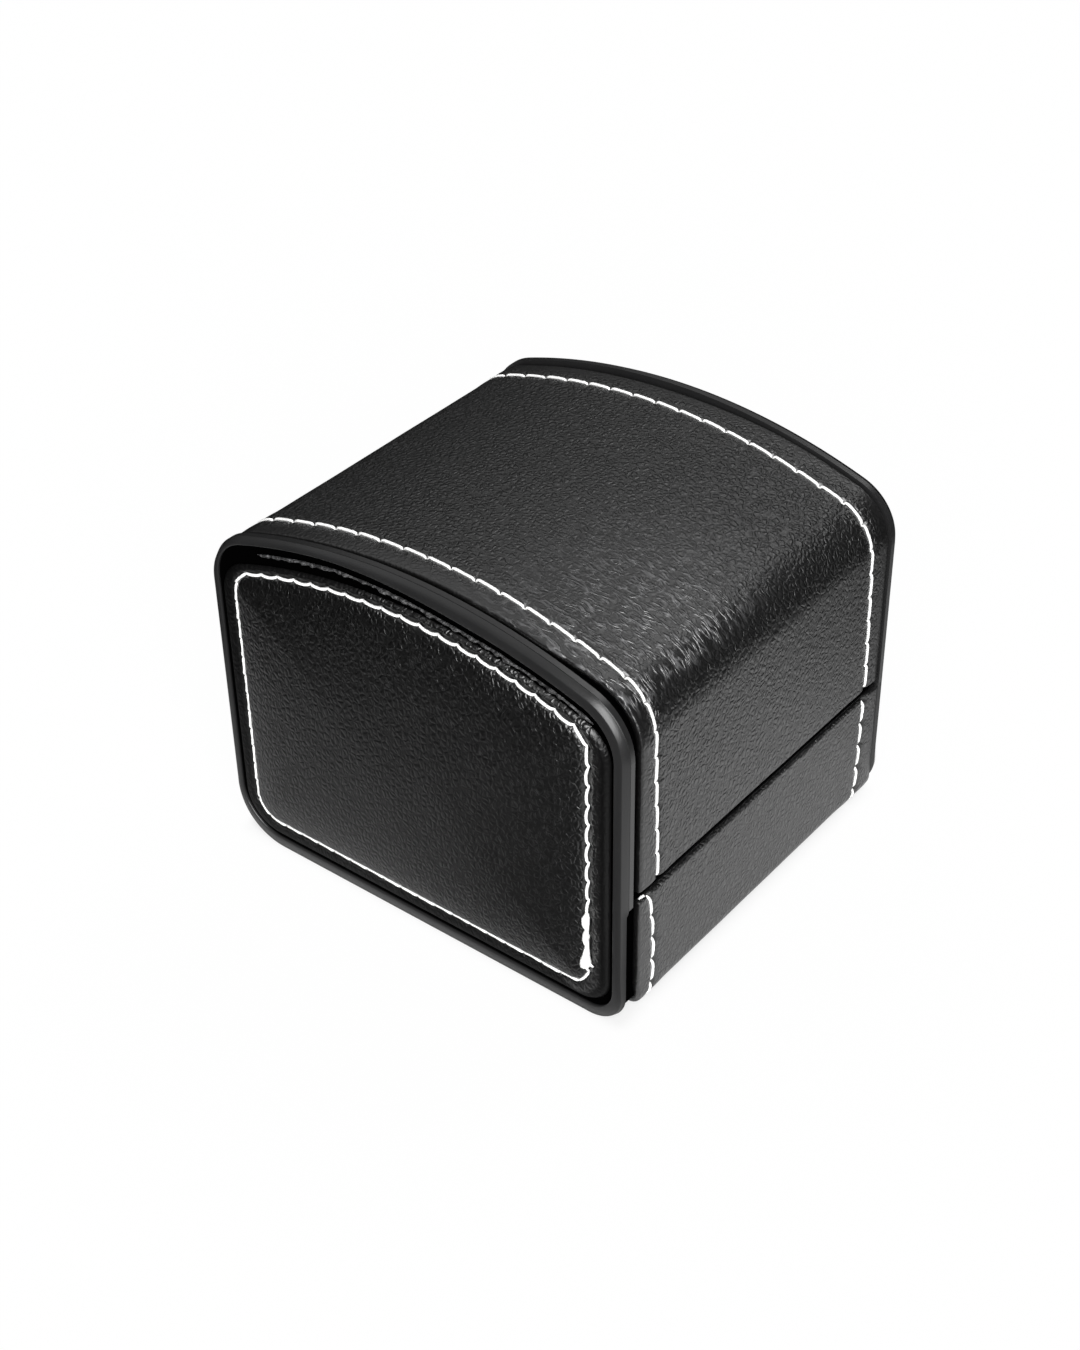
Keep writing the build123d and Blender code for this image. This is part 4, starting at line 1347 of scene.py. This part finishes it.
def watch_pad():
    """Velvet pad with its nest: a round well, a slot for the bow and two finger scoops."""
    above = PAD_TOP_Z + CUT_CLEARANCE
    pad = block(
        "watch_pad_velvet",
        (-PAD_HALF_X, -PAD_HALF_Y, PAD_BOTTOM_Z),
        (PAD_HALF_X, PAD_HALF_Y, PAD_TOP_Z),
    )
    shape = bmesh.new()
    shape.from_mesh(pad.data)
    heights = [(edge, [v.co.z for v in edge.verts]) for edge in shape.edges]
    top = [edge for edge, z in heights if min(z) > (PAD_TOP_Z - 1) * MM]
    upright = [edge for edge, z in heights if max(z) - min(z) > 10 * MM]
    bmesh.ops.bevel(
        shape, geom=top + upright, offset=PAD_EDGE_RADIUS * MM, segments=5, profile=0.5,
        affect="EDGES",
    )
    shape.to_mesh(pad.data)
    shape.free()
    well_bottom = PAD_TOP_Z - WELL_DEPTH
    scoop_bottom = PAD_TOP_Z - FINGER_DEPTH
    slot = BOW_SLOT_WIDTH / 2
    slot_end = BOW_SLOT_END_Y - BOW_SLOT_WIDTH / 3
    cutters = [
        drum("well_cut", 0, WELL_Y, WELL_RADIUS, well_bottom, above),
        block("bow_cut", (-slot, WELL_Y, well_bottom), (slot, slot_end, above)),
        drum("bow_end_cut", 0, BOW_SLOT_END_Y - slot, slot, well_bottom, above),
        drum("left_scoop_cut", -FINGER_X, WELL_Y, FINGER_RADIUS, scoop_bottom, above),
        drum("right_scoop_cut", FINGER_X, WELL_Y, FINGER_RADIUS, scoop_bottom, above),
    ]
    for cutter in cutters:
        cut = pad.modifiers.new(cutter.name, "BOOLEAN")
        cut.operation = "DIFFERENCE"
        cut.solver = "EXACT"
        cut.object = cutter
    remesh = pad.modifiers.new("even_faces", "REMESH")
    remesh.mode = "VOXEL"
    remesh.voxel_size = PAD_VOXEL * MM
    soften = pad.modifiers.new("soft_edges", "SMOOTH")
    soften.factor = 0.5
    soften.iterations = 6
    mesh = plain_mesh(pad)
    pad.modifiers.clear()
    pad.data = mesh
    for cutter in cutters:
        bpy.data.objects.remove(cutter)
    mesh.materials.clear()
    mesh.materials.append(VELVET_CHARCOAL)
    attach(pad, "pad")
    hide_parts("pad_velvet", "pad_foam")


def felt_sheet():
    """Felt under the base, with rounded corners and softened edges."""
    outline = []
    for side_x, side_y, start in ((1, 1, 0), (-1, 1, 90), (-1, -1, 180), (1, -1, 270)):
        for step in range(13):
            angle = radians(start + step * 7.5)
            x = side_x * (FELT_LENGTH / 2 - FELT_CORNER) + FELT_CORNER * cos(angle)
            y = side_y * (FELT_WIDTH / 2 - FELT_CORNER) + FELT_CORNER * sin(angle)
            outline.append((x, y))
    outline = np.array(outline)
    rings = []
    for grow, z in ((-0.35, 0.0), (0.0, 0.25), (0.0, 0.55), (-0.2, FELT_THICKNESS)):
        scale = 1 + grow / (FELT_LENGTH / 2)
        rings.append(np.column_stack([outline * scale, np.full(len(outline), z)]))
    points = np.concatenate(rings)
    made = solid("base_felt_sheet", points, loft((4, len(outline))), FELT_BLACK)
    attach(made, "base")
    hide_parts("base_felt")


# ==== finishes of the solids that show ====
def dress_nodes():
    """Gives every solid that stays in view its finish; the made pieces replace the others."""
    finishes = {
        "lid_shell": SHADED_SHELL_BLACK,
        "base_shell": SHADED_SHELL_BLACK,
        "pad_board": CARD_GREY,
        "base_liner": VELVET_CHARCOAL,
    }
    for name, node in NODES.items():
        node.data.materials.clear()
        node.data.materials.append(finishes.get(name, NICKEL))


# ==== studio ====
def softbox(name, towards, strength, angle):
    """Wide soft lamp that shines from a direction."""
    lamp = bpy.data.lights.new(name, "SUN")
    lamp.energy = strength
    lamp.angle = radians(angle)
    holder = placed(name, lamp)
    holder.rotation_euler = Vector(towards).to_track_quat("Z", "Y").to_euler()


def studio():
    """White floor, softboxes and a dim surrounding."""
    scene = bpy.context.scene
    half = FLOOR_HALF
    mesh = bpy.data.meshes.new("studio_floor")
    corners = [(-half, -half, 0), (half, -half, 0), (half, half, 0), (-half, half, 0)]
    mesh.from_pydata(corners, [], [(0, 1, 2, 3)])
    mesh.materials.append(floor_finish())
    placed("studio_floor", mesh)
    for name, direction, strength, angle in SOFTBOXES:
        softbox(name, direction, strength, angle)
    world = bpy.data.worlds.new("studio_air")
    world.use_nodes = True
    world.node_tree.nodes["Background"].inputs["Color"].default_value = AIR_LIGHT
    scene.world = world
    scene.view_settings.view_transform = "Standard"


def camera():
    lens = bpy.data.cameras.new("camera")
    lens.sensor_fit = "VERTICAL"
    lens.sensor_height = SENSOR_HEIGHT
    lens.lens = CAMERA_LENS
    lens.clip_start = 0.01
    holder = placed("camera", lens)
    looking = (CAMERA_TARGET - CAMERA_PLACE).to_track_quat("-Z", "Y").to_matrix()
    turned = looking @ Matrix.Rotation(radians(CAMERA_ROLL), 3, "Z")
    holder.matrix_world = Matrix.Translation(CAMERA_PLACE) @ turned.to_4x4()
    bpy.context.scene.camera = holder


dress_nodes()
saddle("lid", LID_ROW, LID_SKIN_X, arch_pull, lid_edge_shift, LID_THREAD, 3)
saddle("base", BASE_ROW, BASE_SKIN_X, None, base_edge_shift, BASE_THREAD, 5)
base_thread_end()
for side_name, side in (("left", -1), ("right", 1)):
    end_frame(side_name, side)
    turned_edge(side_name, side)
panel("left", -1, 11)
panel("right", 1, 12)
left_knot()
lid_lining()
end_lining("left", -1)
end_lining("right", 1)
watch_pad()
felt_sheet()
studio()
camera()
